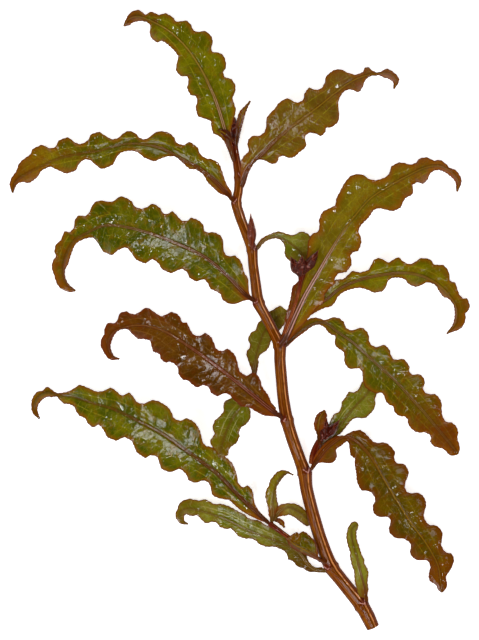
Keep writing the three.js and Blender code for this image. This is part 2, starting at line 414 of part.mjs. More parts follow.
      [3.5, -14, 6.4], [3.6, -12, 6], [4, -9.2, 5.2], [4.9, -5.8, 4], [6.1, -3, 3],
      [8.4, -0.4, 2.4], [10.2, 1.1, 2.2], [12.1, 2.2, 2],
    ],
    left: [
      [2.9, -12.8], [2.2, -10.6], [1.6, -8.1], [2.5, -6.6], [2, -4.6], [2.8, -3.1], [4, -2.4],
      [4.4, -0.9], [5.5, 0.2], [6.8, 1.8], [8.1, 2.5], [10, 3.6], [11.5, 4.1],
    ],
    right: [
      [4.3, -13], [4.7, -10.6], [4.6, -9.7], [5.2, -8.6], [6.5, -7.8], [7.4, -6.5], [7.8, -5.2],
      [9.4, -3.2], [11.2, -1],
    ],
    leftRise: [0, 10, 10],
    rightRise: [-10, -10, -10],
  },
  rear_shoot_leaf_down: {
    rib: [
      [1.8, -17.8, 7.4], [1, -19.5, 7.7], [-0.1, -21.9, 8.4], [-1.9, -24.6, 9.4],
      [-3.4, -27.8, 10.2], [-4.5, -31.1, 10.8], [-5.2, -34.2, 10.9],
    ],
    left: [
      [1.8, -20.3], [2.7, -23.4], [2.4, -25], [1.4, -26.2], [0.2, -27], [-0.2, -28],
      [-0.1, -29.1], [-0.7, -30.5], [-2.1, -31.6], [-2.7, -32.3], [-3, -33.8],
    ],
    right: [
      [-2.3, -19.5], [-3.8, -20.3], [-4.2, -21.4], [-4.1, -22.7], [-5.2, -24.1], [-6.4, -25.2],
      [-6.9, -26.8], [-6.4, -28.4], [-7.5, -30.2], [-7.1, -31.3], [-5.9, -33],
    ],
    leftRise: [-5, -10, -10],
    rightRise: [5, 10, 10],
  },
  lower_shoot_leaf: {
    rib: [
      [20, -32.2, 4.6], [21.8, -30.2, 5.2], [23.7, -28.2, 5.8], [26.6, -24.2, 6.4],
      [29.2, -21.1, 6.2], [32.1, -18, 5.6], [33.1, -14.8, 4.6],
    ],
    left: [
      [20.8, -29.2], [22.2, -26], [23.5, -23.5], [24.5, -23.1], [25, -22.5], [25.3, -21.4],
      [25.5, -20.3], [26.2, -19.5], [26.6, -18.8], [27.1, -18], [28.5, -18], [29.4, -17.5],
      [30, -16.6], [30.4, -15.6],
    ],
    right: [
      [22.8, -30.2], [24.1, -29.1], [25.3, -28.3], [26.2, -27.2], [27, -26.2], [27.7, -25.3],
      [28.5, -24.7], [29.5, -24.5], [31, -24.6], [31.9, -24.2], [33, -23.1], [33.6, -22.2],
      [33.9, -21.1], [33.8, -20], [34, -19.1], [34.5, -17.8], [34.5, -16.2],
    ],
    leftRise: [15, 10, 5],
    rightRise: [-5, -10, -10],
  },
  left_shoot_sheath_leaf: {
    rib: [
      [20.4, -60.2, 4.8], [18.5, -58.9, 5.6], [16.2, -57.5, 6.2], [13.8, -56.2, 6.8],
      [11.5, -54.5, 7.2],
    ],
    left: [
      [17.2, -59.2], [14.8, -58], [12.5, -56.5],
    ],
    right: [
      [19.9, -59.8], [19.5, -58], [19.1, -56.2], [18.5, -55], [17.5, -54], [16.5, -53.1],
      [15.5, -52.8], [14.9, -53.5], [14.2, -53], [13, -52.1], [12, -51.9],
    ],
    leftRise: [-45, -40, -30],
    rightRise: [20, 15, 10],
  },
  left_shoot_leaf_hooked: {
    rib: [
      [8, -49.6, 6.2], [8.1, -48.1, 7], [8.2, -44.9, 7.6], [8.8, -41.8, 7.8], [10, -39.5, 7.2],
      [11.6, -38.2, 6.2], [13.4, -38.8, 5],
    ],
    left: [
      [7.1, -48.8], [7, -47], [6.5, -45.2], [6.3, -43.8], [6.5, -42.5], [7.1, -41.5], [7.5, -40],
      [8.2, -39.1], [9.2, -38], [10.2, -37.6], [11, -37.5], [12, -37.8],
    ],
    right: [
      [9, -47.8], [9.6, -46.4], [9.4, -45.5], [9.2, -44.2], [9.1, -43], [9.2, -41.8], [10, -40.5],
      [10.8, -39.4], [11.5, -38.8], [12.2, -38.5],
    ],
    leftRise: [10, 10, 0],
    rightRise: [-20, -35, -40],
  },
  left_shoot_leaf_arched: {
    rib: [
      [9.1, -49, 5.6], [9.9, -47.8, 6], [12.2, -46.9, 5.8], [14.2, -47.7, 4.2],
      [16.2, -49.2, 2.3], [18, -51.2, 0.9],
    ],
    left: [
      [9.2, -46.8], [10, -46.2], [11.2, -45.9], [12.5, -45.8], [14, -46], [15.2, -46.6],
      [16.2, -47.5], [17, -48.6], [17.8, -50.2],
    ],
    right: [
      [10.2, -49.2], [11.5, -49], [12.5, -48.9], [13.5, -49.4], [14.5, -50.2], [15.8, -51.2],
      [17, -51.8],
    ],
    leftRise: [10, 5, 0],
    rightRise: [-15, -20, -20],
  },
  left_shoot_leaf_small: {
    rib: [
      [9.2, -50.1, 4.6], [10.1, -50.4, 4.4], [11.2, -52, 3.6],
    ],
    left: [
      [10.8, -50.1],
    ],
    right: [
      [9.8, -51.1],
    ],
    leftRise: [0, 0, 0],
    rightRise: [0, 0, 0],
  },
  tip_young_leaf: {
    rib: [
      [-0.7, 47.2, 7.6], [-0.2, 49, 8.2], [0.5, 51.2, 8.8], [1.6, 53.2, 9], [2.6, 54.7, 8.8],
    ],
    left: [
      [-0.9, 49.5], [-0.2, 52],
    ],
    right: [
      [0.4, 48.5], [1.4, 51.2],
    ],
    leftRise: [30, 30, 30],
    rightRise: [30, 30, 30],
  },
  tip_bract: {
    rib: [
      [-2.5, 45.4, 9.4], [-3.6, 46.4, 9.6], [-5.6, 47.6, 9.4],
    ],
    left: [
      [-3.8, 45.5],
    ],
    right: [
      [-2.6, 47.1],
    ],
    leftRise: [10, 10, 10],
    rightRise: [-10, -10, -10],
  },
  lower_shoot_young_leaf: {
    rib: [
      [19.8, -30, 7.2], [19.5, -28, 8.2], [19.6, -25.8, 9], [20.2, -23.9, 9.2], [21.2, -22.5, 9],
    ],
    left: [
      [19.2, -28.8], [18.5, -26.9], [18.4, -25.8], [18.9, -24], [20, -22.9],
    ],
    right: [
      [20.4, -28.5], [20.9, -26.8], [21.5, -25], [21.8, -23.8],
    ],
    leftRise: [35, 35, 30],
    rightRise: [35, 35, 30],
  },
};

// Stems, from the thick end to the thin end: [x, y, z, width].
const STEMS = {
  main_stem: [
    [33.4, -77.2, 1.18, 3.2], [32, -74.2, 1.3, 3.6], [30.6, -71.8, 1.45, 3.6],
    [25.3, -65.1, 2, 3.4], [22.9, -61.9, 2.4, 3.6], [20.2, -55, 3, 3.25],
    [17.8, -46.8, 3.6, 3.2], [16.6, -41.8, 3.9, 3.25], [16.2, -38.5, 4.1, 3.5],
    [15, -35, 4.3, 3.1], [13.2, -30, 4.7, 3.1], [11.8, -25.2, 5, 3.2], [10.9, -20, 5.3, 3],
    [10.4, -15, 5.6, 2.9], [10, -10, 5.8, 2.9], [9.9, -6.5, 6, 3.1], [8, -2.2, 6.2, 2.6],
    [6.1, 1.5, 6.3, 2.7], [4.7, 4.2, 6.4, 2.9], [3.8, 10, 6.5, 2.6], [3.3, 13.8, 6.6, 2.5],
    [3, 17.4, 6.6, 2.6], [1.5, 21.8, 6.6, 2.5], [-0.1, 26.2, 6.6, 2.6],
    [-0.9, 29.2, 6.6, 2.5], [-0.4, 32.5, 6.5, 2.3], [-0.3, 35.5, 6.4, 2.3],
    [-0.9, 40, 6.3, 2], [-1.4, 43.1, 6.2, 1.5], [-1.45, 45, 6.2, 1], [-1.5, 46.3, 6.2, 0.8],
  ],
  left_side_shoot: [
    [19.4, -59.4, 3.6, 1.1], [18.2, -58.6, 3.9, 1.1], [15, -56.2, 4.7, 1.1],
    [11.8, -54.1, 5.4, 1.2], [9.2, -52.2, 5.8, 1.4], [7.4, -50.9, 6, 1.4],
  ],
  rear_side_shoot: [
    [8.7, -22.4, 4.9, 1.1], [7, -20.5, 5.6, 1], [4.2, -17.8, 6.4, 0.9],
    [2.7, -16.2, 7, 0.8],
  ],
  upper_right_shoot: [
    [11.1, -3.3, 9, 1], [12.4, 0, 10.4, 0.9], [13.9, 4.2, 11.6, 0.8], [14.8, 7.5, 12.5, 0.9],
    [15.1, 9.6, 13.1, 1.1], [15.2, 10.8, 13.4, 1.5], [15.3, 11.7, 13.6, 1.7],
  ],
  lower_right_shoot: [
    [18.2, -36, 4.8, 2], [18.4, -34.2, 5.3, 2.2], [18.9, -32.2, 6, 2],
    [19.5, -30.7, 6.6, 1.5],
  ],
};

// Where a leaf or a side shoot leaves the main stem, from the cut end up: [x, y].
const STEM_NODES = [
  [30.6, -71.8], [22.9, -61.9], [16.2, -38.5], [11.8, -25.2], [9.9, -6.5], [4.7, 4.2],
  [3, 17.4], [-0.9, 29.2], [-0.3, 35.5], [-1.4, 43.5],
];

// Closed buds: base, tip and greatest width. Each sits in the angle of a leaf or ends a shoot.
const BUDS = {
  tip_bud: { base: [-1.5, 47, 6.3], tip: [-1.6, 51.6, 7.2], width: 1.9 },
  side_bud: { base: [3.1, 18, 8.3], tip: [2.7, 26.8, 8.8], width: 2.1 },
  upper_shoot_bud_left: { base: [14.3, 12.2, 14.1], tip: [12.6, 15.9, 14.8], width: 2 },
  upper_shoot_bud_middle: { base: [15.6, 12.9, 14.9], tip: [15.9, 16.1, 16.3], width: 1.7 },
  upper_shoot_bud_right: { base: [16.7, 12.6, 14.1], tip: [19.7, 17.5, 15.6], width: 2.1 },
  lower_shoot_bud_left: { base: [20.6, -29.7, 7.6], tip: [22.1, -24.4, 8.8], width: 1.7 },
  lower_shoot_bud_right: { base: [21.9, -29.2, 7.9], tip: [25, -24.9, 8.8], width: 2 },
};
const BUD_SIDES = 8;
const BUD_STATIONS = 6;
const BUD_WIDEST_AT = 0.4;
const BUD_FOOT_SHARE = 0.3;
const BUD_POINT_SHARE = 0.12;

// Colours of fresh tissue, by piece.
const OLIVE = 0x6b690e;
const DEEP_GREEN = 0x57620f;
const RED_BROWN = 0x6e3c0c;
const LIGHT_GREEN = 0x7c8330;
const STEM_BROWN = 0x8a4a0c;
const BUD_MAROON = 0x4a1810;
const LEAF_COLOURS = {
  left_leaf_3: DEEP_GREEN,
  left_leaf_4: RED_BROWN,
  left_leaf_5: DEEP_GREEN,
  left_leaf_6: LIGHT_GREEN,
  upper_shoot_leaf: RED_BROWN,
  rear_shoot_leaf_up: LIGHT_GREEN,
  rear_shoot_leaf_down: LIGHT_GREEN,
  lower_shoot_leaf: LIGHT_GREEN,
  left_shoot_leaf_hooked: LIGHT_GREEN,
  left_shoot_leaf_arched: LIGHT_GREEN,
  tip_young_leaf: RED_BROWN,
  tip_bract: BUD_MAROON,
};

function mix(a, b, t) {
  return a + (b - a) * t;
}

function smooth(t) {
  const x = Math.min(1, Math.max(0, t));
  return x * x * (3 - 2 * x);
}

// The value at share u of a row of evenly spaced values.
function along(values, u) {
  const x = Math.min(1, Math.max(0, u)) * (values.length - 1);
  const i = Math.min(Math.floor(x), values.length - 2);
  return mix(values[i], values[i + 1], smooth(x - i));
}

// A height that never goes under the surface, and meets it softly.
function aboveFloor(z, halfThickness) {
  const room = z - FLOOR_Z - halfThickness;
  const soft = Math.sqrt(room * room + FLOOR_SOFTNESS * FLOOR_SOFTNESS);
  return FLOOR_Z + halfThickness + (room + soft) / 2;
}

// Points along a smooth curve, each with the distance run to it as seen from above.
function traceCurve(points) {
  const knots = points.map(([x, y, z]) => new THREE.Vector3(x, y, z));
  const curve = new THREE.CatmullRomCurve3(knots, false, "centripetal");
  const trace = curve.getPoints(CURVE_SAMPLES).map((point) => ({ point, run: 0 }));
  for (let i = 1; i < trace.length; i++) {
    const before = trace[i - 1].point;
    const here = trace[i].point;
    trace[i].run = trace[i - 1].run + Math.hypot(here.x - before.x, here.y - before.y);
  }
  return trace;
}

function traceAt(trace, run) {
  let i = 1;
  while (i < trace.length - 1 && trace[i].run < run) i++;
  const from = trace[i - 1];
  const to = trace[i];
  const t = (run - from.run) / Math.max(1e-9, to.run - from.run);
  return from.point.clone().lerp(to.point, Math.min(1, Math.max(0, t)));
}

// Heading along the curve, and the level direction to its left.
function frameAt(trace, run, reach) {
  const end = trace.at(-1).run;
  const back = traceAt(trace, Math.max(0, run - reach));
  const ahead = traceAt(trace, Math.min(end, run + reach));
  const heading = ahead.sub(back).normalize();
  const left = new THREE.Vector3(-heading.y, heading.x, 0).normalize();
  return { at: traceAt(trace, run), heading, left };
}

// For each point, where along the curve it lies and how far off the curve it is.
function placesOf(trace, points) {
  let start = 0;
  return points.map(([x, y]) => {
    let best = start;
    let nearest = Infinity;
    for (let i = start; i < trace.length; i++) {
      const p = trace[i].point;
      const gap = Math.hypot(p.x - x, p.y - y);
      if (gap < nearest) {
        nearest = gap;
        best = i;
      }
    }
    start = best;
    return { run: trace[best].run, reach: nearest };
  });
}

// Half-width of one half of a blade along its length: the foot, each margin point, and the tip.
function widthsOf(trace, points, foot) {
  const end = trace.at(-1).run;
  const widths = [{ run: 0, reach: foot }];
  for (const { run, reach } of placesOf(trace, points)) {
    const place = Math.max(run, widths.at(-1).run + LEAST_GAP);
    if (place < end - LEAST_GAP) widths.push({ run: place, reach });
  }
  widths.push({ run: end, reach: TIP_HALF_WIDTH });
  return widths;
}

// Slope of the margin at one of its points: none at the top of a lobe or the bottom of a fold.
function slopeAt(widths, i) {
  if (i === 0 || i === widths.length - 1) return 0;
  const before = widths[i].run - widths[i - 1].run;
  const after = widths[i + 1].run - widths[i].run;
  const slopeBefore = (widths[i].reach - widths[i - 1].reach) / before;
  const slopeAfter = (widths[i + 1].reach - widths[i].reach) / after;
  if (slopeBefore * slopeAfter <= 0) return 0;
  const weightBefore = 2 * after + before;
  const weightAfter = after + 2 * before;
  const sum = weightBefore / slopeBefore + weightAfter / slopeAfter;
  return (weightBefore + weightAfter) / sum;
}

// Half-width at one place: a smooth curve through the margin's points that never swings past them.
function widthAt(widths, run) {
  let i = 1;
  while (i < widths.length - 1 && widths[i].run < run) i++;
  const from = widths[i - 1];
  const to = widths[i];
  const gap = to.run - from.run;
  const t = Math.min(1, Math.max(0, (run - from.run) / gap));
  const swing = slopeAt(widths, i - 1) * (1 - t) - slopeAt(widths, i) * t;
  return mix(from.reach, to.reach, smooth(t)) + gap * t * (1 - t) * swing;
}

// The margin's half-width and the height of its ruffle at one place.
function marginAt(widths, run) {
  const end = widths.at(-1).run;
  const width = widthAt(widths, run);
  let around = 0;
  for (let k = 0; k < RUFFLE_SAMPLES; k++) {
    const offset = mix(-RUFFLE_REACH, RUFFLE_REACH, k / (RUFFLE_SAMPLES - 1));
    around += widthAt(widths, run + offset) / RUFFLE_SAMPLES;
  }
  const fade = RUFFLE_FADE * end;
  const taper = smooth(run / fade) * smooth((end - run) / fade);
  const lift = THREE.MathUtils.clamp(around - width, -RUFFLE_LIMIT, RUFFLE_LIMIT);
  return { width, lift: RUFFLE_GAIN * lift * taper };
}

// Closed solid through a row of rings, all with the same number of corners. A blade and a stem
// change width all along, so each is lofted ring by ring rather than extruded.
function loft(rings) {
  const corners = rings[0].length;
  const positions = rings.flat().flatMap((p) => [p.x, p.y, p.z]);
  const faces = [];
  for (let i = 0; i < rings.length - 1; i++) {
    for (let j = 0; j < corners; j++) {
      const a = i * corners + j;
      const b = i * corners + ((j + 1) % corners);
      faces.push(a, b, b + corners, a, b + corners, a + corners);
    }
  }
  const lastRing = (rings.length - 1) * corners;
  for (let j = 1; j < corners - 1; j++) {
    faces.push(0, j + 1, j);
    faces.push(lastRing, lastRing + j, lastRing + j + 1);
  }
  const geometry = new THREE.BufferGeometry();
  geometry.setAttribute("position", new THREE.Float32BufferAttribute(positions, 3));
  geometry.setIndex(faces);
  geometry.computeVertexNormals();
  return geometry;
}

// Leaf blade: a thin lens section from the left margin over the midrib to the right margin.
function leafGeometry(leaf) {
  const trace = traceCurve(leaf.rib);
  const end = trace.at(-1).run;
  const foot = leaf.foot ?? BASE_HALF_WIDTH;
  const leftWidths = widthsOf(trace, leaf.left, foot);
  const rightWidths = widthsOf(trace, leaf.right, foot);
  const count = Math.max(FEWEST_STATIONS, Math.round(end / STATION_STEP));
  const rings = [];
  for (let i = 0; i <= count; i++) {
    const run = (i / count) * end;
    const { at, heading, left } = frameAt(trace, run, HEADING_SHARE * end);
    const edge = (widths, side, rises) => {
      const { width, lift } = marginAt(widths, run);
      const rise = THREE.MathUtils.degToRad(along(rises, run / end));
      const point = at.clone().addScaledVector(left, side * width);
      point.z = aboveFloor(at.z + width * Math.tan(rise) + lift, EDGE_CLEARANCE);
      return point;
    };
    const leftEdge = edge(leftWidths, 1, leaf.leftRise);
    const rightEdge = edge(rightWidths, -1, leaf.rightRise);
    const share = smooth(i / count / RIB_FADE) * smooth((1 - i / count) / RIB_FADE);
    const half = (RIB_THICKNESS / 2) * mix(RIB_END_SHARE, 1, share);
    at.z = aboveFloor(at.z, half);
    const across = leftEdge.clone().sub(rightEdge);
    const up = heading.clone().cross(across).normalize();
    const top = at.clone().addScaledVector(up, half);
    const bottom = at.clone().addScaledVector(up, -half);
    rings.push([leftEdge, top, rightEdge, bottom]);
  }
  return loft(rings);
}

// Distances along a stem at which it needs a ring: evenly spaced, and three at each node.
function stemStations(trace, nodes) {
  const end = trace.at(-1).run;
  const count = Math.max(3, Math.round(end / STEM_STEP));
  const even = Array.from({ length: count + 1 }, (_, i) => (i / count) * end);
  const nodeRuns = placesOf(trace, nodes).map((node) => node.run);
  const close = (run) => nodeRuns.some((n) => Math.abs(n - run) < NODE_ROOM);
  const plain = even.filter((run) => run === 0 || run === end || !close(run));
  const extra = nodeRuns.flatMap((n) => [n - NODE_REACH, n, n + NODE_REACH]);
  const inside = extra.filter((run) => run > STEM_END_ROOM && run < end - STEM_END_ROOM);
  return [...plain, ...inside].sort((a, b) => a - b);
}

function stemGeometry(points, nodes) {
  const trace = traceCurve(points);
  const nodeRuns = placesOf(trace, nodes).map((node) => node.run);
  const pointRuns = placesOf(trace, points).map((point) => point.run);
  const stemWidthAt = (run) => {
    let i = 1;
    while (i < pointRuns.length - 1 && pointRuns[i] < run) i++;
    const t = (run - pointRuns[i - 1]) / (pointRuns[i] - pointRuns[i - 1]);
    return mix(points[i - 1][3], points[i][3], Math.min(1, Math.max(0, t)));
  };
  const rings = stemStations(trace, nodes).map((run) => {
    const { at, heading, left } = frameAt(trace, run, STEM_HEADING_REACH);
    const swell = nodeRuns.reduce((sum, n) => {
      return sum + NODE_SWELL * Math.exp(-(((run - n) / NODE_SPREAD) ** 2));
    }, 1);
    const half = (stemWidthAt(run) / 2) * swell * STEM_CORNER;
    const up = heading.clone().cross(left).normalize();
    return Array.from({ length: STEM_SIDES }, (_, j) => {
      const angle = ((j + 0.5) / STEM_SIDES) * 2 * Math.PI;
      const point = at.clone().addScaledVector(left, half * Math.cos(angle));
      point.addScaledVector(up, half * STEM_FLATNESS * Math.sin(angle));
      point.z = Math.max(FLOOR_Z, point.z);
      return point;
    });
  });
  return loft(rings);
}

// Closed bud: a spindle with a narrow foot and a sharp point.
function budGeometry({ base, tip, width }) {
  const from = new THREE.Vector3(...base);
  const to = new THREE.Vector3(...tip);
  const heading = to.clone().sub(from).normalize();
  const left = new THREE.Vector3(-heading.y, heading.x, 0).normalize();
  const up = heading.clone().cross(left);
  const rings = Array.from({ length: BUD_STATIONS }, (_, i) => {
    const t = i / (BUD_STATIONS - 1);
    const swell = t < BUD_WIDEST_AT ? t / BUD_WIDEST_AT : (1 - t) / (1 - BUD_WIDEST_AT);
    const end = mix(BUD_FOOT_SHARE, BUD_POINT_SHARE, t);
    const half = (width / 2) * mix(end, 1, smooth(swell));
    return Array.from({ length: BUD_SIDES }, (_, j) => {
      const angle = (j / BUD_SIDES) * 2 * Math.PI;
      const point = from.clone().lerp(to, t);
      point.addScaledVector(left, half * Math.cos(angle));
      return point.addScaledVector(up, half * Math.sin(angle));
    });
  });
  return loft(rings);
}

function piece(name, geometry, color, roughness) {
  const material = new THREE.MeshStandardMaterial({ color, roughness, metalness: 0 });
  const mesh = new THREE.Mesh(geometry, material);
  mesh.name = name;
  return mesh;
}

const shoot = new THREE.Group();
for (const [name, points] of Object.entries(STEMS)) {
  const nodes = name === "main_stem" ? STEM_NODES : [];
  shoot.add(piece(name, stemGeometry(points, nodes), STEM_BROWN, 0.35));
}
for (const [name, leaf] of Object.entries(LEAVES)) {
  shoot.add(piece(name, leafGeometry(leaf), LEAF_COLOURS[name] ?? OLIVE, 0.3));
}
for (const [name, bud] of Object.entries(BUDS)) {
  shoot.add(piece(name, budGeometry(bud), BUD_MAROON, 0.4));
}

export default shoot;
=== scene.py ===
import math

import bpy
import numpy as np
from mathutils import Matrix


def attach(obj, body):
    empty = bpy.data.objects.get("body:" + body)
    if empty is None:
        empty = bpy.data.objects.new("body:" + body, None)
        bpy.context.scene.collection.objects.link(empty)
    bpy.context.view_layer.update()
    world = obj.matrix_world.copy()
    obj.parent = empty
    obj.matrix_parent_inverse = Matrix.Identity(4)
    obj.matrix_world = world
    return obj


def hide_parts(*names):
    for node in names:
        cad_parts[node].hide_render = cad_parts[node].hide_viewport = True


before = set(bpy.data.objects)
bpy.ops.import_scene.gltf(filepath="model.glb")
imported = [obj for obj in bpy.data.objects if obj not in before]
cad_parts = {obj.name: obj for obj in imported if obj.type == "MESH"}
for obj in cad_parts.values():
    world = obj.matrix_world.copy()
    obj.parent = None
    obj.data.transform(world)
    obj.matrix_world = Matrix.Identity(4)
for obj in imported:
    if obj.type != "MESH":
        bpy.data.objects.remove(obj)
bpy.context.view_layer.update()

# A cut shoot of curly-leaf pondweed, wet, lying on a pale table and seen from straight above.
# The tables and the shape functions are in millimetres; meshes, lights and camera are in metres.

MM = 0.001
NOISE_CELLS = 256
CURVE_SAMPLES = 400
# Samples of a curve over which its starting direction is taken.
START_SAMPLES = 4
# How softly a blade that would go under the table is lifted.
FLOOR_SOFTNESS = 0.25

# Blade: closeness of its grid along the midrib, and its columns from the midrib to a margin.
STATION_STEP = 0.28
FEWEST_STATIONS = 30
COLUMNS = np.array([
    0, 0.02, 0.045, 0.075, 0.11, 0.16, 0.22, 0.28, 0.34, 0.4, 0.45, 0.5, 0.56, 0.63, 0.7, 0.77,
    0.84, 0.9, 0.95, 0.98, 1,
])
# Half-widths at foot and tip, and the narrowing stretch by which a foot runs on into the stem.
BASE_HALF_WIDTH = 0.55
TIP_HALF_WIDTH = 0.25
FOOT_REACH = 1.3
FOOT_SHARE = 0.75
# Share of the length over which a heading is taken, and the least run between margin points.
HEADING_SHARE = 0.035
LEAST_GAP = 0.15
# Where the fine relief dies away: shares of the length at foot and tip, and reach off the midrib.
CALM_FOOT = 0.1
CALM_TIP = 0.04
CALM_RIB = 0.9
# The last stretch of a blade, in which it thins and its midrib sinks.
TIP_REACH = 1.6
# Ruffle of the margins, and the arch of each half-blade from midrib to margin.
RUFFLE_GAIN = 0.8
RUFFLE_LIMIT = 0.9
RUFFLE_REACH = 3.6
RUFFLE_SAMPLES = 7
RUFFLE_FADE = 0.12
RUFFLE_POWER = 2.4
FOLD_SKEW = 0.45
ARCH = 0.12
# Half-thickness at the midrib and at the margin, and at the tip as a share of these.
HALF_THICKNESS = 0.12
MARGIN_HALF_THICKNESS = 0.045
MARGIN_POWER = 0.7
TIP_THICKNESS = 0.6
EDGE_CLEARANCE = 0.05
LEAST_HEIGHT = 0.02
# Midrib: a ridge with a channel on top and a keel below, lower and narrower towards the tip.
RIB_HALF_WIDTH = 0.42
RIB_NARROWING = (1.15, 0.45)
RIB_RIDGE = 0.26
RIB_LOWERING = (1, 0.4)
RIB_AT_TIP = 0.35
RIB_CHANNEL = 0.4
RIB_CHANNEL_HALF_WIDTH = 0.12
RIB_KEEL = 0.32
# Lateral veins: one half-way out on each side, where the blade is wide enough.
LATERAL_AT = 0.5
LATERAL_REACH = 9.0
LATERAL_SAMPLES = 13
LATERAL_RIDGE = 0.05
LATERAL_HALF_WIDTH = 0.22
LATERAL_FROM_WIDTH = 1
LATERAL_FADE = 1.5
# Relief between the veins: broad waves, crinkles, and slanted furrows over the cross veins.
WAVE_HEIGHT = 0.1
WAVE_CELL = 2.6
WAVE_STRETCH = 0.6
CRINKLE_HEIGHT = 0.018
CRINKLE_CELL = 1.25
FURROW_DEPTH = 0.014
FURROW_STEP = 2.4
FURROW_SLANT = 0.6
FURROW_WANDER = 0.3
FURROW_CELL = 4
# How much more than the others some leaves are crinkled.
CRINKLES = {"left_leaf_4": 2.4, "right_leaf_4": 1.5, "left_leaf_6": 1.8}
# Teeth of the margin: a slow rise and a steep fall each.
TOOTH_STEP = 1.05
TOOTH_DEPTH = 0.15
TOOTH_RISE = 0.7
TOOTH_WANDER = 0.35
TOOTH_CELL = 2.5

# Stem: closeness of its grid, thickness as a share of its width, and roughness of its outline.
STEM_COLUMNS = 40
STEM_STEP = 0.22
FEWEST_STEM_RINGS = 12
STEM_HEADING_REACH = 0.6
STEM_FLATNESS = 0.72
STEM_WAVER = 0.015
STEM_WAVER_CELL = 3
STEM_WAVER_AROUND = 4
# The upper side of the stem, from its left edge to its right: flat bands with blunt ribs between.
STEM_PROFILE = [
    (-1, 0), (-0.8, 0.42), (-0.36, 0.86), (0.04, 1), (0.3, 0.93), (0.46, 0.845), (0.82, 0.4),
    (1, 0),
]
# Fine lines along the stem: place from -1 at the right edge to 1 at the left, half-width, colour
# and strength. The ridge lines are pale ribs with a highlight painted on them.
STEM_LINES = [
    (-0.24, 0.09, "dark", 0.8), (-0.58, 0.1, "edge", 0.8), (-0.42, 0.11, "ridge_highlight", 1),
    (0.26, 0.09, "dark", 0.6), (0.42, 0.08, "ridge_highlight", 0.25),
]
# Swellings at a node, each a share of the width and a reach: the node itself and its collar.
NODE_SWELLS = [(0.1, 0.75), (0.03, 0.2)]
# The dark patch above a node: how far above, its reach, and its range round the stem.
PATCH_ABOVE = 0.7
PATCH_REACH = 1.1
PATCH_FROM = -0.5
PATCH_TO = 0.4
# Where the membrane of a leaf's axil crosses the stem: its lowest place, the rise of its arms and
# how far round they go. A point far from any seam has the distance NO_SEAM.
AXIL_AT = 0.45
AXIL_RISE = 2.2
AXIL_HALF_WIDTH = 0.5
NO_SEAM = 9
# How far the cut end and the tip are domed, and the least height of their middle.
CUT_DOME = 0.25
TIP_DOME = 0.3
DOME_LEAST_HEIGHT = 0.3

# Bud: its scales and their grid, and the turns and spread of a scale round it in radians.
SCALES = 6
SCALE_ROWS = 22
SCALE_COLUMNS = 13
FIRST_TURN = 1.9
SCALE_TURN = 2.4
SCALE_SPREAD = 1.75
# Each next scale starts and ends further up, and lies closer; the first is this much proud.
SCALE_START_STEP = 0.05
SCALE_FIRST_END = 0.62
SCALE_END_STEP = 0.075
SCALE_PROUD = 0.16
SCALE_THICKNESS = 0.07
# A scale narrows to a point, and lies lower at its foot and at its edges.
SCALE_POINT_POWER = 2.2
SCALE_LEAST_SPREAD = 0.004
SCALE_FOOT_LIFT = 0.5
SCALE_EDGE_DROP = 0.35
SCALE_WAVER = 0.05
SCALE_WAVER_ALONG = 4
SCALE_WAVER_AROUND = 2
# The spindle under the scales: its share of the bud's width, where it is widest, and the shares
# of its width that are left at foot and tip.
BODY_SHARE = 0.86
SPINDLE_WIDEST = 0.4
SPINDLE_ENDS = (0.3, 0.12)

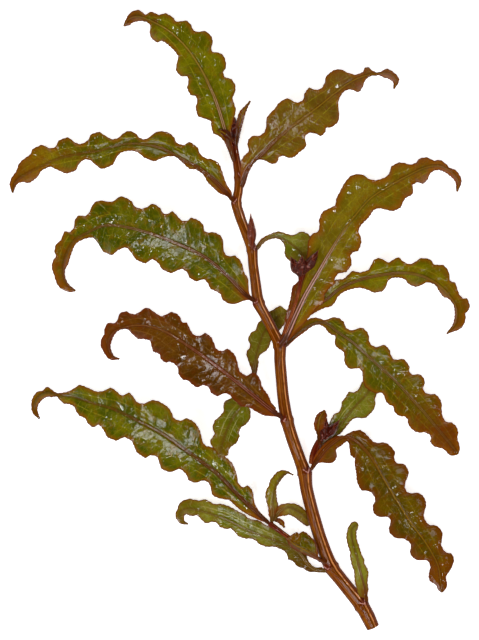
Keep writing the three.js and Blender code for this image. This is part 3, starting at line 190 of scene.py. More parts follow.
# Leaves: the midrib from base to tip (x, y, z), points along the two margins (x, y), and the angles
# in degrees at which the left and the right half leave the midrib, from base to tip.
LEAVES = {
    "left_leaf_1": {
        "rib": [
            (-1.9, 40.9, 7.9), (-2.5, 42.9, 8), (-3.1, 45, 8.2), (-3.8, 47.5, 8.5),
            (-5.5, 53.2, 9), (-7.4, 58, 9.2), (-10.2, 63.5, 8.6), (-14, 68.8, 7.2),
            (-18, 72.5, 5.6), (-22.5, 75, 3.8), (-25.8, 76.1, 1.8), (-28, 75.4, 0.4),
            (-29.1, 73.7, -0.5),
        ],
        "left": [
            (-3.8, 44.2), (-5.2, 45.9), (-6.8, 46.8), (-7.2, 48.5), (-7.3, 49.6), (-9, 50.4),
            (-10.6, 51.1), (-11.1, 53), (-10.7, 54.8), (-11, 55.8), (-12.5, 56.4),
            (-13.2, 57.8), (-12.9, 59.5), (-13.1, 60.7), (-14.8, 61), (-15.9, 62.2),
            (-15.8, 64.2), (-15.5, 66), (-16.8, 67.7), (-18.6, 69.3), (-19.6, 69.8),
            (-20.8, 69.5), (-21.9, 70.3), (-22.7, 72), (-22.5, 73.5), (-23.2, 74.5),
            (-24.6, 74.9), (-26.1, 74.8), (-27.4, 74.2),
        ],
        "right": [
            (-2.2, 46.8), (-1.6, 50), (-1.1, 53), (-1.8, 55.1), (-1.2, 57.2), (-1.2, 58.8),
            (-2.2, 60.3), (-3.8, 60.7), (-4.2, 61.8), (-3.6, 62.8), (-3.5, 64.4), (-4, 65.9),
            (-5.2, 66.9), (-6.8, 67), (-7.2, 67.7), (-6.8, 69.2), (-7.1, 70.9), (-8.4, 72.2),
            (-9.2, 72.4), (-10.5, 72), (-11.7, 72.6), (-12.4, 74.1), (-13.4, 75), (-14.6, 74.8),
            (-16.1, 74.8), (-16.9, 75.9), (-18.4, 76.8), (-20.5, 76.5), (-22.2, 77.3),
            (-23.6, 76.5), (-25.6, 77.8), (-27.4, 77.2), (-28.6, 75.6), (-29.2, 74.2),
        ],
        "rises": [(-5, -22, -24, -30), (0, -6, -6, -10)],
    },
    "left_leaf_2": {
        "rib": [
            (-2.2, 30.4, 7.4), (-3.2, 31.5, 8), (-6.5, 34.9, 9.6), (-10.2, 37.9, 10.6),
            (-14.1, 39.8, 11), (-19.8, 42.9, 11), (-27.9, 44, 10), (-36, 42.1, 8.2),
            (-39.8, 41.6, 7.2), (-44.8, 40.6, 5.4), (-51.4, 37.8, 3), (-56.2, 34.8, 0.8),
            (-57.1, 31.9, -0.5),
        ],
        "left": [
            (-3, 30.6), (-5.4, 31.8), (-7.7, 33.9), (-9.6, 36.6), (-11, 37.5), (-12.4, 37.6),
            (-14.2, 39.1), (-16, 40.6), (-17.9, 40.8), (-19.8, 40.3), (-21.6, 39.6),
            (-23.8, 40.5), (-25.5, 41.8), (-27.2, 42.2), (-29.5, 41.8), (-30.8, 40.4),
            (-31.8, 38.8), (-34.2, 37.8), (-36.2, 38.8), (-37.5, 39.9), (-38.6, 40.1),
            (-40, 39.2), (-41.4, 37.3), (-43.2, 36.7), (-45.9, 37.6), (-47.8, 38.3),
            (-49.5, 37.5), (-50.9, 35.7), (-52.8, 34.4), (-55, 34.5), (-56.1, 33.8),
        ],
        "right": [
            (-2.1, 32.1), (-3, 33.4), (-3.8, 35.2), (-4.5, 37.2), (-5.5, 39.3), (-7, 40.1),
            (-8.8, 40.5), (-10, 41.4), (-10.8, 43.2), (-12.4, 44.4), (-14, 43.6), (-15.6, 44.1),
            (-16.4, 45.6), (-18, 46.8), (-19.9, 47.1), (-21.6, 46.5), (-22.8, 45.4),
            (-23.9, 45.1), (-25.1, 45.5), (-26.2, 46.6), (-27.9, 47.2), (-29.4, 46.5),
            (-30.5, 45.4), (-31.8, 45.1), (-33.7, 46), (-35.5, 47), (-37.1, 46.5), (-38, 44.9),
            (-39.8, 44), (-41.1, 44.4), (-43.2, 45.7), (-45.2, 45), (-46.4, 43.2), (-47.5, 43),
            (-49.8, 43.9), (-51.8, 43), (-52.7, 41.4), (-53.9, 40.6), (-55.4, 39.3),
            (-56.2, 37.2), (-57.3, 35.7), (-57.9, 33.9), (-57.5, 32.5),
        ],
        "rises": [(-10, -10, -20, -35), (15, 10, 5, -20)],
    },
    "left_leaf_3": {
        "rib": [
            (2.8, 5.3, 7.4), (1.2, 6.5, 8.4), (-3.6, 11.4, 10.6), (-8.7, 15.6, 12),
            (-15.6, 19, 12.6), (-23, 21.8, 12.2), (-30.4, 23.5, 11), (-34.1, 23.5, 10),
            (-37.8, 22, 8.6), (-41.5, 19.8, 6.6), (-43.8, 15.6, 4.4), (-44.3, 11.9, 2.4),
            (-43.4, 9.1, 0.8), (-41.3, 7.3, -0.5),
        ],
        "left": [
            (0.9, 4.7), (-1, 4), (-3, 4.2), (-4.5, 5.2), (-4.9, 6.4), (-6.2, 7.2), (-7.4, 7.8),
            (-8, 9), (-8.9, 10.1), (-11.2, 9.7), (-12.6, 10.5), (-13.2, 11.9), (-14.3, 12.6),
            (-15.5, 12.3), (-17.5, 11.7), (-19.4, 12.6), (-20.4, 14.1), (-21.8, 15.1),
            (-23.8, 14.1), (-25.9, 15), (-27, 16.6), (-28.4, 18), (-30.2, 17.5), (-32.2, 16.2),
            (-34.2, 17.2), (-35.5, 19.4), (-36.8, 20.5), (-38.5, 20.3), (-39.8, 19.8),
            (-41.1, 18.9), (-42, 17.1), (-42.9, 14.3), (-43.8, 12.5), (-43.8, 10.9),
            (-43.1, 9.2),
        ],
        "right": [
            (2.6, 6.2), (2.2, 8.8), (1.9, 10.6), (1.1, 11.8), (0.6, 13.8), (-0.2, 15.2),
            (-1.2, 16.1), (-2.6, 15.9), (-3.4, 16.2), (-4.1, 17.8), (-4.2, 19.5), (-5, 21.2),
            (-6.4, 21.9), (-8, 21.8), (-8.8, 22.1), (-9.4, 24), (-10.6, 25), (-12.1, 25.5),
            (-13.2, 24.8), (-14.4, 24.8), (-15.4, 25.7), (-16.8, 27.1), (-18, 26.4),
            (-18.9, 26.5), (-20, 28), (-21.6, 29), (-23.2, 28.2), (-24.8, 27.8), (-26, 28.2),
            (-26.9, 29.6), (-29.8, 30.9), (-31.2, 29.8), (-32.2, 29.5), (-34, 29.8),
            (-35.5, 29.8), (-37, 28.8), (-37.6, 27.1), (-38.6, 26), (-40.4, 26.1), (-41.2, 25),
            (-41.4, 23.2), (-42.4, 22.1), (-44, 22.1), (-44.5, 20.9), (-45, 19.8),
            (-46.1, 18.9), (-46.5, 17.4), (-46.1, 15.9), (-46.9, 14.9), (-47.2, 13.5),
            (-46.6, 11.1), (-45.9, 9), (-44.1, 7.3), (-42.3, 6.9),
        ],
        "rises": [(-10, -12, -15, -40), (10, 8, 0, -20)],
    },
    "left_leaf_4": {
        "rib": [
            (9.9, -24, 6.2), (7.5, -22.2, 8), (2.1, -17.8, 10.8), (-3.6, -13.2, 12.4),
            (-9.5, -8.8, 12.6), (-14.8, -5.2, 11.8), (-19.2, -2.6, 10.6), (-22.9, -1.5, 9.4),
            (-25.8, -1.3, 8.4), (-28.8, -1.8, 7.2), (-31.5, -2.9, 6), (-32.9, -5, 4.8),
            (-32.9, -7.2, 3.7), (-31.9, -9, 2.8), (-30.2, -9.8, 2.2),
        ],
        "left": [
            (7.5, -24.1), (5.8, -23.8), (3.8, -22.8), (2.2, -21.8), (0.1, -21.5), (-1.5, -19.9),
            (-2.5, -18.8), (-3.8, -18.3), (-5.8, -19), (-7.2, -18.2), (-7.9, -16.8),
            (-8.9, -16.3), (-11, -16.8), (-12.2, -15.9), (-13, -15.1), (-14.1, -15),
            (-15.4, -13.4), (-15.5, -12), (-16.5, -10.9), (-17.5, -10.5), (-18.8, -10.6),
            (-19.8, -9.8), (-20.2, -8.5), (-21.6, -8), (-22.1, -6.5), (-22.6, -5.1),
            (-24, -4.8), (-25.3, -4.8), (-26.9, -3.6), (-28.2, -2.3), (-29.9, -2.5),
            (-31.4, -3.8), (-32.1, -5.3), (-32.4, -6.6), (-32, -8.1), (-31.2, -9.2),
        ],
        "right": [
            (8.8, -22.2), (7.8, -20.6), (7.1, -18.9), (5.6, -16.6), (5, -14.9), (4.1, -13.4),
            (3, -13), (1.7, -13.8), (0.2, -13), (-0.5, -11.5), (-0.8, -9.9), (-1.6, -8.3),
            (-3, -7.1), (-4.4, -7.8), (-5.8, -7.2), (-6.5, -5.6), (-7.4, -4), (-8.6, -3.2),
            (-9.9, -4), (-11.5, -3.6), (-12.5, -2.1), (-13.2, -0.7), (-14.3, -0.6),
            (-14.8, 0.6), (-15.8, 1.6), (-17, 2), (-18.5, 1.3), (-19.7, 1), (-21.1, 1.8),
            (-23.3, 3.1), (-24.9, 2.2), (-26.2, 1.5), (-27.2, 1.6), (-28.7, 2.2), (-30, 1.8),
            (-30.4, 0.4), (-31.2, -0.7), (-33, -0.7), (-34, -2.2), (-34, -3.5), (-34.9, -5.2),
            (-34.9, -6.6), (-34.2, -8), (-33.2, -9.5), (-31.9, -10.2),
        ],
        "rises": [(-10, -15, -20, -30), (15, 10, 5, -20)],
    },
    "left_leaf_5": {
        "rib": [
            (6.5, -50.2, 6), (3, -47, 6.6), (-0.1, -44.1, 7.2), (-5.9, -38.2, 8.2),
            (-10.4, -34.8, 9.2), (-14.8, -31.6, 9.6), (-19.2, -28.5, 9.8), (-26, -24.9, 9.4),
            (-31.8, -22.2, 8.4), (-37.1, -20.7, 7), (-41.6, -19.3, 5.6), (-44, -18.9, 4.9),
            (-46, -18.7, 4.3), (-48.2, -18, 3.4), (-50.4, -19, 2.2), (-51.6, -20.9, 1.2),
            (-51.6, -22.8, 0.3), (-50.3, -24.8, -0.5),
        ],
        "left": [
            (5.5, -50.4), (3.4, -49.5), (1.8, -48.6), (0, -47.5), (-1.5, -46.2), (-2.5, -45.2),
            (-3.8, -44.8), (-5.5, -44.5), (-6.9, -43.8), (-7.3, -42), (-7.9, -40.7),
            (-8.9, -40.2), (-11.2, -40.8), (-12.8, -40.1), (-13.5, -38.6), (-14.8, -37.3),
            (-17.5, -38.1), (-19.5, -37.3), (-20.2, -35.8), (-20.8, -34.2), (-22.2, -33.8),
            (-23.8, -34.5), (-25.6, -33.3), (-26.5, -31.5), (-27.2, -30.1), (-28.6, -29.4),
            (-31.1, -30.2), (-33.1, -29.4), (-34, -27.8), (-35.2, -26.3), (-36.7, -26.9),
            (-38.2, -25.8), (-38.9, -24.5), (-40, -24.1), (-41.2, -22.8), (-41.7, -21.6),
            (-42.9, -21.1), (-44, -21), (-45, -20), (-46, -19.2), (-47.8, -19.3), (-49.5, -20),
            (-50.6, -21.4), (-50.7, -23.1),
        ],
        "right": [
            (5.2, -48.2), (4.1, -46.6), (3.5, -45.2), (3.4, -43.5), (2.8, -42.1), (1.9, -41.2),
            (0.9, -41.8), (-0.2, -41), (-0.7, -39), (-1.1, -37.4), (-2.1, -35.5), (-3.8, -34),
            (-5.8, -32.2), (-7.6, -31.6), (-8.4, -31.4), (-9.2, -30.5), (-9.6, -29),
            (-10.2, -27.1), (-11.6, -25.3), (-13.4, -24.5), (-14.8, -25.1), (-16.4, -24.5),
            (-17.2, -23), (-18.2, -21.5), (-20, -20.4), (-21.7, -20), (-24.1, -20.8),
            (-25.6, -20.5), (-26.8, -19), (-27.7, -18.1), (-29.6, -18.8), (-30.9, -17.7),
            (-32.2, -16.9), (-34.2, -17.7), (-36, -17.8), (-37.8, -17), (-40, -16.2),
            (-41.6, -17.1), (-43.5, -18), (-45.8, -18.2), (-47.1, -17.3), (-48.4, -16.7),
            (-49.4, -17.6), (-51.1, -18.2), (-52.2, -19.9), (-52.4, -21.5), (-51.8, -23.8),
        ],
        "rises": [(-20, -15, -15, -30), (20, 15, 5, -10)],
    },
    "left_leaf_6": {
        "rib": [
            (20.8, -62.8, 2.6), (19.1, -62.6, 2.6), (17, -61.2, 2.9), (14.8, -58.2, 3.3),
            (12.5, -56.8, 3.5), (8.7, -55.2, 3.8), (4.9, -53.8, 4.1), (1, -52.2, 4.2),
            (-2.8, -50.2, 4.2), (-6.6, -48.8, 3.8), (-10.5, -47.6, 3), (-12.5, -47.3, 2.2),
            (-14.1, -47.5, 1.4), (-15, -48.4, 0.8), (-15.2, -49.5, 0.3), (-14.5, -50.6, -0.1),
            (-13, -51.2, -0.5),
        ],
        "left": [
            (18.9, -63.2), (17.2, -63.1), (15.8, -62.3), (14.2, -61.6), (13.5, -60.7),
            (12.2, -60.1), (11.8, -58.9), (10.8, -57.7), (8.9, -56.9), (6.4, -56.8),
            (4.8, -56.2), (3.9, -55.3), (2.9, -54.8), (1.4, -54.8), (-0.4, -54.2), (-1.5, -53),
            (-2.4, -52.2), (-3.5, -52.4), (-5, -51.9), (-5.9, -50.8), (-6.9, -50.6),
            (-8.5, -51), (-9.6, -50.2), (-10.8, -49), (-12.1, -49.2), (-13.5, -48.8),
            (-14, -49.5), (-13.7, -50.6),
        ],
        "right": [
            (20.5, -61.9), (18.6, -61.8), (17.1, -60.2), (16.5, -58.6), (14.5, -56.5),
            (12.2, -53.9), (9.8, -52.4), (7, -51.5), (4.5, -50.1), (3.1, -49.9), (1.8, -49.4),
            (1.3, -48.7), (0, -48.1), (-1.4, -47.3), (-3, -46.5), (-4.7, -46), (-6.5, -46),
            (-7.6, -45.4), (-8.8, -44.9), (-10.1, -45.2), (-11.5, -45), (-12.5, -44.8),
            (-13.9, -45.2), (-15, -45.8), (-15.6, -46.9), (-15.8, -47.6), (-16.2, -48.5),
            (-16, -49.9), (-15, -51.1),
        ],
        "rises": [(-10, -10, -15, -30), (0, 5, 10, -20)],
    },
    "right_leaf_1": {
        "rib": [
            (0.8, 34.5, 7.5), (1.2, 35.8, 7.7), (1.8, 37.2, 8), (3, 38.8, 8.5), (5, 40.9, 9.2),
            (9.5, 45.4, 10.6), (14.4, 49.4, 11), (19.4, 53.1, 10.6), (23.9, 56.8, 9.4),
            (28, 59.7, 7.8), (31.3, 61.1, 6.2), (34.7, 61.7, 4.6), (37.5, 61.7, 2.6),
            (39.2, 60.1, 0.9), (38.6, 58, -0.5),
        ],
        "left": [
            (0, 36), (0.1, 38), (0.3, 39.9), (1, 41), (2.2, 42.1), (1.9, 43.8), (2.2, 45.2),
            (3.3, 46.1), (4.7, 45.9), (6, 46.8), (6.5, 48.4), (6.6, 50.4), (7.5, 51.6),
            (8.7, 52.8), (9.5, 54), (10.9, 55), (12.5, 55.2), (13.2, 54.5), (14.7, 54.3),
            (15.7, 54.9), (16.1, 56.5), (17.2, 58), (18.8, 57.5), (20.2, 57.8), (21.1, 59.2),
            (21.5, 60.9), (23, 62.2), (25.2, 62.7), (27, 61.8), (29.2, 61.4), (30.6, 62),
            (31.2, 63.1), (32, 63.4), (33, 62.6), (34.4, 62), (35.6, 62.4), (36.5, 63),
            (38.6, 62.1), (39.8, 60.8), (39.8, 59.4),
        ],
        "right": [
            (2.6, 37.6), (3.6, 39.2), (4.7, 40), (6.5, 39.7), (8.1, 39), (9.4, 39.5),
            (9.8, 40.6), (10.8, 41), (12.5, 40.5), (14, 41), (14.9, 41.9), (16, 42.7),
            (16.6, 43.9), (16.2, 45.1), (16.4, 46), (17.1, 46.6), (18.8, 46.4), (20.3, 45.9),
            (21.2, 46.8), (21.6, 48), (22.8, 48.1), (24.2, 49.1), (24.9, 50.6), (24.8, 52.2),
            (24.5, 53.9), (25, 55.7), (26.1, 57.1), (27.5, 57.6), (29.7, 57), (30.7, 58.2),
            (31.4, 60), (32.8, 61), (34.7, 61.2), (36.5, 60.6), (37.9, 60), (38.5, 59),
        ],
        "rises": [(15, 10, 5, -20), (-10, -15, -20, -40)],
        "foot": 0.7,
    },
    "right_leaf_2": {
        "rib": [
            (10.5, -5.9, 7.3), (11.3, -4.7, 7.8), (13.4, 0, 9.4), (16.2, 6, 11.4),
            (19.8, 12.3, 12.8), (22.1, 16.3, 13.6), (25.3, 21.5, 14.2), (28.5, 25.8, 14.2),
            (32.4, 30.2, 13.4), (37.2, 33.4, 11.8), (42, 36.1, 9.6), (46.3, 38.1, 7.2),
            (49.9, 38.6, 5), (53.1, 37.1, 2.6), (54.8, 34.7, 0.9), (54.5, 32.2, -0.5),
        ],
        "left": [
            (10.2, -4.8), (10.8, -3.1), (11.8, -0.5), (13, 3.8), (14.2, 7.5), (15.2, 11),
            (16.2, 14.5), (16.9, 17.5), (17, 19.6), (17.9, 21.4), (19.5, 22.2), (19.8, 23.5),
            (19.7, 25), (20.6, 27), (22.3, 27.9), (23.7, 28.7), (24, 30.2), (24.9, 32.1),
            (26.1, 34.3), (27.3, 35.7), (29, 36.4), (30.9, 36.2), (32.2, 35.3), (34.5, 35),
            (36.5, 35.8), (37.4, 37), (37.8, 38.4), (39.2, 39.2), (41, 39.2), (42.5, 38.8),
            (43.9, 39.3), (44.9, 40.4), (46.4, 40.7), (48.6, 39.9), (50, 40.1), (51.4, 39.3),
            (52.6, 38.1), (54.2, 37.5), (55.3, 36), (55.5, 34),
        ],
        "right": [
            (11.8, -5.6), (13, -4), (14.2, -2.6), (15.9, -1), (17.2, 0.6), (19, 2.8), (21, 4.5),
            (21.2, 6.4), (22.5, 8), (23.8, 9.2), (23.6, 10.3), (24.4, 11.5), (26.6, 12.1),
            (27.6, 13.4), (27.8, 14.6), (27.5, 16), (28.1, 16.8), (29.5, 17.3), (30.2, 19.1),
            (30, 20.7), (29.5, 22.1), (30.1, 23.5), (32.2, 25.7), (33.2, 27.2), (34.5, 27.8),
            (36.2, 27.5), (38.2, 27.1), (39.9, 27.9), (40.7, 29.4), (41.5, 30.5), (42.9, 31.2),
            (43.3, 32.5), (43, 33.7), (44.2, 34.3), (45.9, 34.1), (47, 35.2), (47.5, 36.5),
            (48.9, 37.4), (50.3, 37.4), (52.1, 36.5), (53.5, 35.3), (54.2, 33.4),
        ],
        "rises": [(-30, -15, 0, -20), (15, 10, -15, -40)],
    },
    "right_leaf_3": {
        "rib": [
            (15.2, 0.8, 5.6), (18.2, 3.1, 6.4), (21.7, 5.2, 7.2), (25.2, 8, 8.2),
            (30.5, 10.2, 9), (35.6, 11.3, 9.2), (40.4, 11.8, 8.6), (45.2, 11.1, 7.4),
            (49.1, 9.2, 5.8), (52.4, 6.1, 4), (54.3, 2.7, 2.1), (54, -0.8, 0.6),
            (51.9, -3.5, -0.5),
        ],
        "left": [
            (17, 3.5), (19.5, 6.5), (22, 8.8), (24, 10.1), (25.8, 10.3), (26.9, 11.2),
            (28, 12.2), (30, 11.9), (31.8, 12.4), (32.8, 13.8), (33.5, 15), (34.5, 15.5),
            (35.9, 15), (37, 14.4), (38.4, 15.2), (39.6, 15.7), (40.7, 14.8), (42.2, 14),
            (43.9, 14.6), (45, 15.4), (46, 15.5), (47.5, 15.2), (48.6, 13.9), (49.8, 13.8),
            (51, 13.7), (52, 12.5), (52.5, 10.8), (52.6, 9.8), (53.9, 9.3), (54.4, 8),
            (55, 6.4), (55.9, 5.5), (56.9, 5.5), (57.6, 3.9), (57.3, 2.3), (56.5, 1.7),
            (56.6, 0.1), (55.6, -2), (54.2, -2.8),
        ],
        "right": [
            (17.2, 0.8), (19.1, 2), (21.2, 3), (22.8, 3.4), (23.8, 4.4), (24.5, 5.8),
            (25.8, 6.9), (28, 7.7), (29.8, 8), (31.8, 7.5), (33.8, 6.8), (35.5, 7.1),
            (36.5, 8.2), (37.1, 9.8), (38.2, 10.5), (39.8, 10.5), (41.2, 10.1), (42.2, 9),
            (43.8, 8.3), (45.2, 8.6), (46.9, 9.4), (48.8, 8.7), (49.9, 7.1), (50.9, 5.8),
            (52.2, 5.3), (53.4, 3.9), (53.8, 2.2), (53.7, 0.2), (53, -1.7),
        ],
        "rises": [(10, 10, 0, -15), (-20, -30, -35, -50)],
    },
    "right_leaf_4": {
        "rib": [
            (12, -5.8, 6.2), (13.6, -4.2, 6.6), (16.4, -2, 7.2), (18.9, -0.8, 8),
            (21.4, -0.8, 9), (24.4, -3, 10.2), (28, -5.5, 10.8), (31.7, -8.8, 10.8),
            (35.3, -12.1, 10), (39, -15.4, 8.9), (42.7, -19.4, 7.4), (46.3, -23.4, 5.8),
            (50, -27.8, 3.4), (53.1, -31.5, 1), (54.7, -33.7, -0.4),
        ],
        "left": [
            (14, -2), (15.8, -0.5), (17.8, 0.5), (19.7, 0.5), (20.8, 0.1), (21.9, 0.1),
            (22.8, 0.5), (23.9, 0.5), (25.2, 0.2), (25.9, -0.4), (26.2, -1.3), (26.7, -2.1),
            (27.8, -2.5), (28.8, -2.2), (29.7, -1.9), (30.7, -2), (31.6, -2.8), (32.2, -3.9),
            (32.2, -5.3), (32.8, -6.2), (33.9, -6.7), (35, -6.4), (35.6, -6.1), (36.6, -6.6),
            (37.4, -7.5), (37.6, -8.6), (38.2, -9.6), (39.2, -9.9), (40.2, -9.6), (41.1, -9.9),
            (41.8, -10.8), (42.3, -11.6), (42.2, -12.7), (42.8, -13.5), (43.7, -13.7),
            (44.7, -13.5), (45.6, -14.1), (46.2, -15.5), (45.7, -16.9), (46.1, -17.9),
            (47.2, -18.5), (48.8, -18.5), (49.6, -19.2), (50.4, -20.6), (50.5, -22.5),
            (50.8, -24.2), (51.5, -25.4), (53.1, -25.7), (54.1, -26.5), (54.7, -28),
            (54.5, -29.7), (55, -31.1), (55.2, -32.7),
        ],
        "right": [
            (12.3, -6.2), (13.3, -5.3), (14.2, -4.5), (16, -3.2), (17.5, -2), (18.6, -1.4),
            (19.5, -1.2), (20.5, -1.5), (21.2, -2), (21.7, -2.8), (22.5, -3.5), (23.7, -4),
            (23.8, -4.6), (23.6, -5.5), (23.8, -6.3), (24.5, -7.1), (25.7, -7.9), (26, -8.9),
            (25.9, -10), (26.3, -11.1), (27, -12), (28, -12.2), (28.9, -12.1), (29.9, -12.2),
            (30.5, -13), (30.6, -14.1), (30.9, -16), (31.6, -17.1), (32.6, -17.8),
            (33.5, -18.2), (34.3, -18.4), (35, -18.1), (35.7, -18.5), (36.1, -19.4),
            (36.6, -20.5), (37.3, -21.2), (38.3, -21.6), (38.5, -22.7), (39.1, -23.5),
            (40.1, -24.1), (41.2, -24.2), (41.9, -24.8), (42, -25.8), (42.7, -27),
            (43.6, -27.8), (44.8, -28.2), (46.2, -28.2), (47.5, -28.8), (47.9, -29.7),
            (47.7, -30.6), (48.4, -31.5), (49.7, -32.1), (50.8, -32.3), (51.6, -32.9),
            (52.3, -33.7), (53.5, -34.1),
        ],
        "rises": [(5, 15, 15, 10), (-10, -15, -20, -20)],
    },
    "right_leaf_5": {
        "rib": [
            (18.4, -36.4, 6.5), (19.6, -34.5, 7.2), (21.2, -32.4, 8.2), (23.5, -30.4, 9.4),
            (25.8, -29.1, 10.4), (27.9, -29.6, 10.8), (29.6, -30.7, 10.8), (31, -32.1, 10.6),
            (33.2, -34.9, 10), (36, -39.9, 8.8), (39.4, -45.5, 7.4), (43, -51.1, 5.8),
            (46.9, -56.4, 4.1), (49.7, -61.7, 2), (50.2, -64.5, 0.9), (50.7, -68.4, -0.5),
        ],
        "left": [
            (18.9, -33.6), (20.2, -31.8), (21.6, -30.4), (23.4, -29.3), (24.8, -28.8),
            (25.9, -28.8), (27, -28.3), (28, -27.8), (29.2, -27.5), (30.2, -27.5),
            (31.1, -28.1), (32, -29), (33, -30.1), (34.3, -30.6), (35.7, -30.5), (36.9, -30.9),
            (37.8, -31.7), (38.6, -32.7), (38.7, -33.6), (38.5, -34.5), (38.8, -35.3),
            (39.7, -35.8), (40.7, -35.9), (41.5, -36.5), (42.1, -37.7), (42.1, -38.9),
            (41.6, -40), (41.2, -40.9), (41.2, -41.8), (41.6, -42.7), (42.7, -43.2),
            (43.9, -43.2), (45, -43.4), (46, -44.3), (46.5, -45.5), (46.5, -46.6), (46.1, -48),
            (46.1, -49.5), (46.7, -50.6), (47.6, -51.3), (48.7, -51.2), (49.7, -51.8),
            (50.5, -52.8), (50.8, -54), (50.5, -55.3), (50.5, -56.6), (51.1, -57.7),
            (52, -58.2), (53, -58.5), (53.5, -59.3), (53.6, -60.4), (53.2, -62), (52.6, -63.2),
            (51.8, -64), (51.7, -65), (52, -66.1), (51.9, -67.1), (51.4, -67.8),
        ],
        "right": [
            (19.5, -35.9), (20.5, -35.7), (21.6, -35.8), (22.8, -35.8), (23.7, -35.3),
            (24.2, -34.3), (24.2, -33.3), (23.9, -32.4), (24.5, -31.9), (25.5, -31.3),
            (26.1, -30.6), (26.5, -30.3), (27, -30.6), (27.2, -31.3), (27.3, -32.5),
            (27.6, -33.8), (28.6, -34.6), (28.6, -35.7), (28.8, -37.2), (29, -38.8),
            (29.2, -40.3), (29.7, -41.6), (30.3, -42.6), (31.6, -42.7), (32.8, -43.1),
            (33.5, -44.1), (33.7, -45.2), (33.3, -46.2), (33.2, -47.3), (33.5, -48.4),
            (34.3, -49.1), (35.3, -49.4), (36.4, -49.2), (37.3, -49.5), (37.7, -50.3),
            (37.4, -51.2), (37.2, -52.3), (37.6, -53.5), (38.4, -54.3), (39.5, -54.8),
            (40.6, -54.8), (41.6, -55.1), (42.5, -55.8), (42.8, -56.7), (42.6, -58),
            (42.8, -58.9), (43.6, -59.8), (44.8, -60.3), (46.4, -60.2), (47.3, -60.7),
            (47.7, -61.8), (47.4, -63.2), (47.3, -64.5), (47.8, -65.7), (48.8, -66.2),
            (49.3, -66.8), (49.7, -67.8),
        ],
        "rises": [(5, 10, 10, 5), (-25, -15, -20, -25)],
    },
    "right_leaf_6": {
        "rib": [
            (31.6, -69.4, 2.2), (31.3, -67.5, 3), (30.7, -65, 3.8), (30, -62.5, 4.3),
            (29.3, -59.5, 4.4), (28.5, -56.8, 4.1), (28, -54.4, 3.6), (28, -52.6, 3),
            (28.7, -51.6, 2.4), (29.7, -51.3, 1.8),
        ],
        "left": [
            (29.9, -69.5), (29.2, -67.5), (28.8, -65.8), (28.6, -64.2), (28.5, -62.8),
            (27.9, -61.2), (27.5, -59.5), (27.5, -58), (26.9, -56.2), (26.6, -54.5),
            (26.8, -52.8), (27.4, -51.4), (28.2, -50.6), (29.1, -50.4),
        ],
        "right": [
            (32, -69.2), (32.2, -67.2), (32, -66), (32.1, -64.5), (32.2, -63.2), (31.9, -62.2),
            (31.2, -61), (31.1, -59.8), (30.6, -59), (30.2, -57.8), (29.8, -56.4), (29.3, -55),
            (29.2, -53.5), (29.4, -52.6),
        ],
        "rises": [(10, 10, 10), (-10, -10, -10)],
    },
    "small_leaf_upper_right": {
        "rib": [
            (4.5, 18.3, 6.6), (5.4, 19.4, 7), (7, 20.4, 7.6), (9.2, 20.8, 8), (11.2, 19.9, 8),
            (13.4, 18.5, 7.6), (15.4, 16.7, 7), (16.8, 14.8, 6.2),
        ],
        "left": [
            (5, 20), (7.5, 21.5), (10, 22.1), (12.2, 21.4), (13.9, 21.4), (14.7, 22),
            (15.7, 22.1), (17.2, 21.4), (18, 20), (18.1, 18),
        ],
        "right": [
            (7, 19.9), (10, 20), (10.7, 19.3), (11.2, 17.9), (11.1, 16.8), (11.8, 15.3),
            (12.5, 14.7), (13.2, 13.9), (15, 13.5),
        ],
        "rises": [(0, 10, 10), (-10, -20, -20)],
    },
    "upper_shoot_leaf": {
        "rib": [
            (11, -3.5, 5.8), (12.5, 0, 6.8), (13.8, 4.2, 7.6), (14.8, 8, 8), (15, 10.2, 8),
        ],
        "left": [
            (11.4, 1), (12.5, 5), (13, 8.2),
        ],
        "right": [
            (14, 0), (15.2, 4.2), (15.8, 8),
        ],
        "rises": [(10, 10, 0), (-10, -10, -10)],
    },
    "rear_shoot_leaf_up": {
        "rib": [
            (3.5, -14, 6.4), (3.6, -12, 6), (4, -9.2, 5.2), (4.9, -5.8, 4), (6.1, -3, 3),
            (8.4, -0.4, 2.4), (10.2, 1.1, 2.2), (12.1, 2.2, 2),
        ],
        "left": [
            (2.9, -12.8), (2.2, -10.6), (1.6, -8.1), (2.5, -6.6), (2, -4.6), (2.8, -3.1),
            (4, -2.4), (4.4, -0.9), (5.5, 0.2), (6.8, 1.8), (8.1, 2.5), (10, 3.6), (11.5, 4.1),
        ],
        "right": [
            (4.3, -13), (4.7, -10.6), (4.6, -9.7), (5.2, -8.6), (6.5, -7.8), (7.4, -6.5),
            (7.8, -5.2), (9.4, -3.2), (11.2, -1),
        ],
        "rises": [(0, 10, 10), (-10, -10, -10)],
    },
    "rear_shoot_leaf_down": {
        "rib": [
            (1.8, -17.8, 7.4), (1, -19.5, 7.7), (-0.1, -21.9, 8.4), (-1.9, -24.6, 9.4),
            (-3.4, -27.8, 10.2), (-4.5, -31.1, 10.8), (-5.2, -34.2, 10.9),
        ],
        "left": [
            (1.8, -20.3), (2.7, -23.4), (2.4, -25), (1.4, -26.2), (0.2, -27), (-0.2, -28),
            (-0.1, -29.1), (-0.7, -30.5), (-2.1, -31.6), (-2.7, -32.3), (-3, -33.8),
        ],
        "right": [
            (-2.3, -19.5), (-3.8, -20.3), (-4.2, -21.4), (-4.1, -22.7), (-5.2, -24.1),
            (-6.4, -25.2), (-6.9, -26.8), (-6.4, -28.4), (-7.5, -30.2), (-7.1, -31.3),
            (-5.9, -33),
        ],
        "rises": [(-5, -10, -10), (5, 10, 10)],
    },
    "lower_shoot_leaf": {
        "rib": [
            (20, -32.2, 4.6), (21.8, -30.2, 5.2), (23.7, -28.2, 5.8), (26.6, -24.2, 6.4),
            (29.2, -21.1, 6.2), (32.1, -18, 5.6), (33.1, -14.8, 4.6),
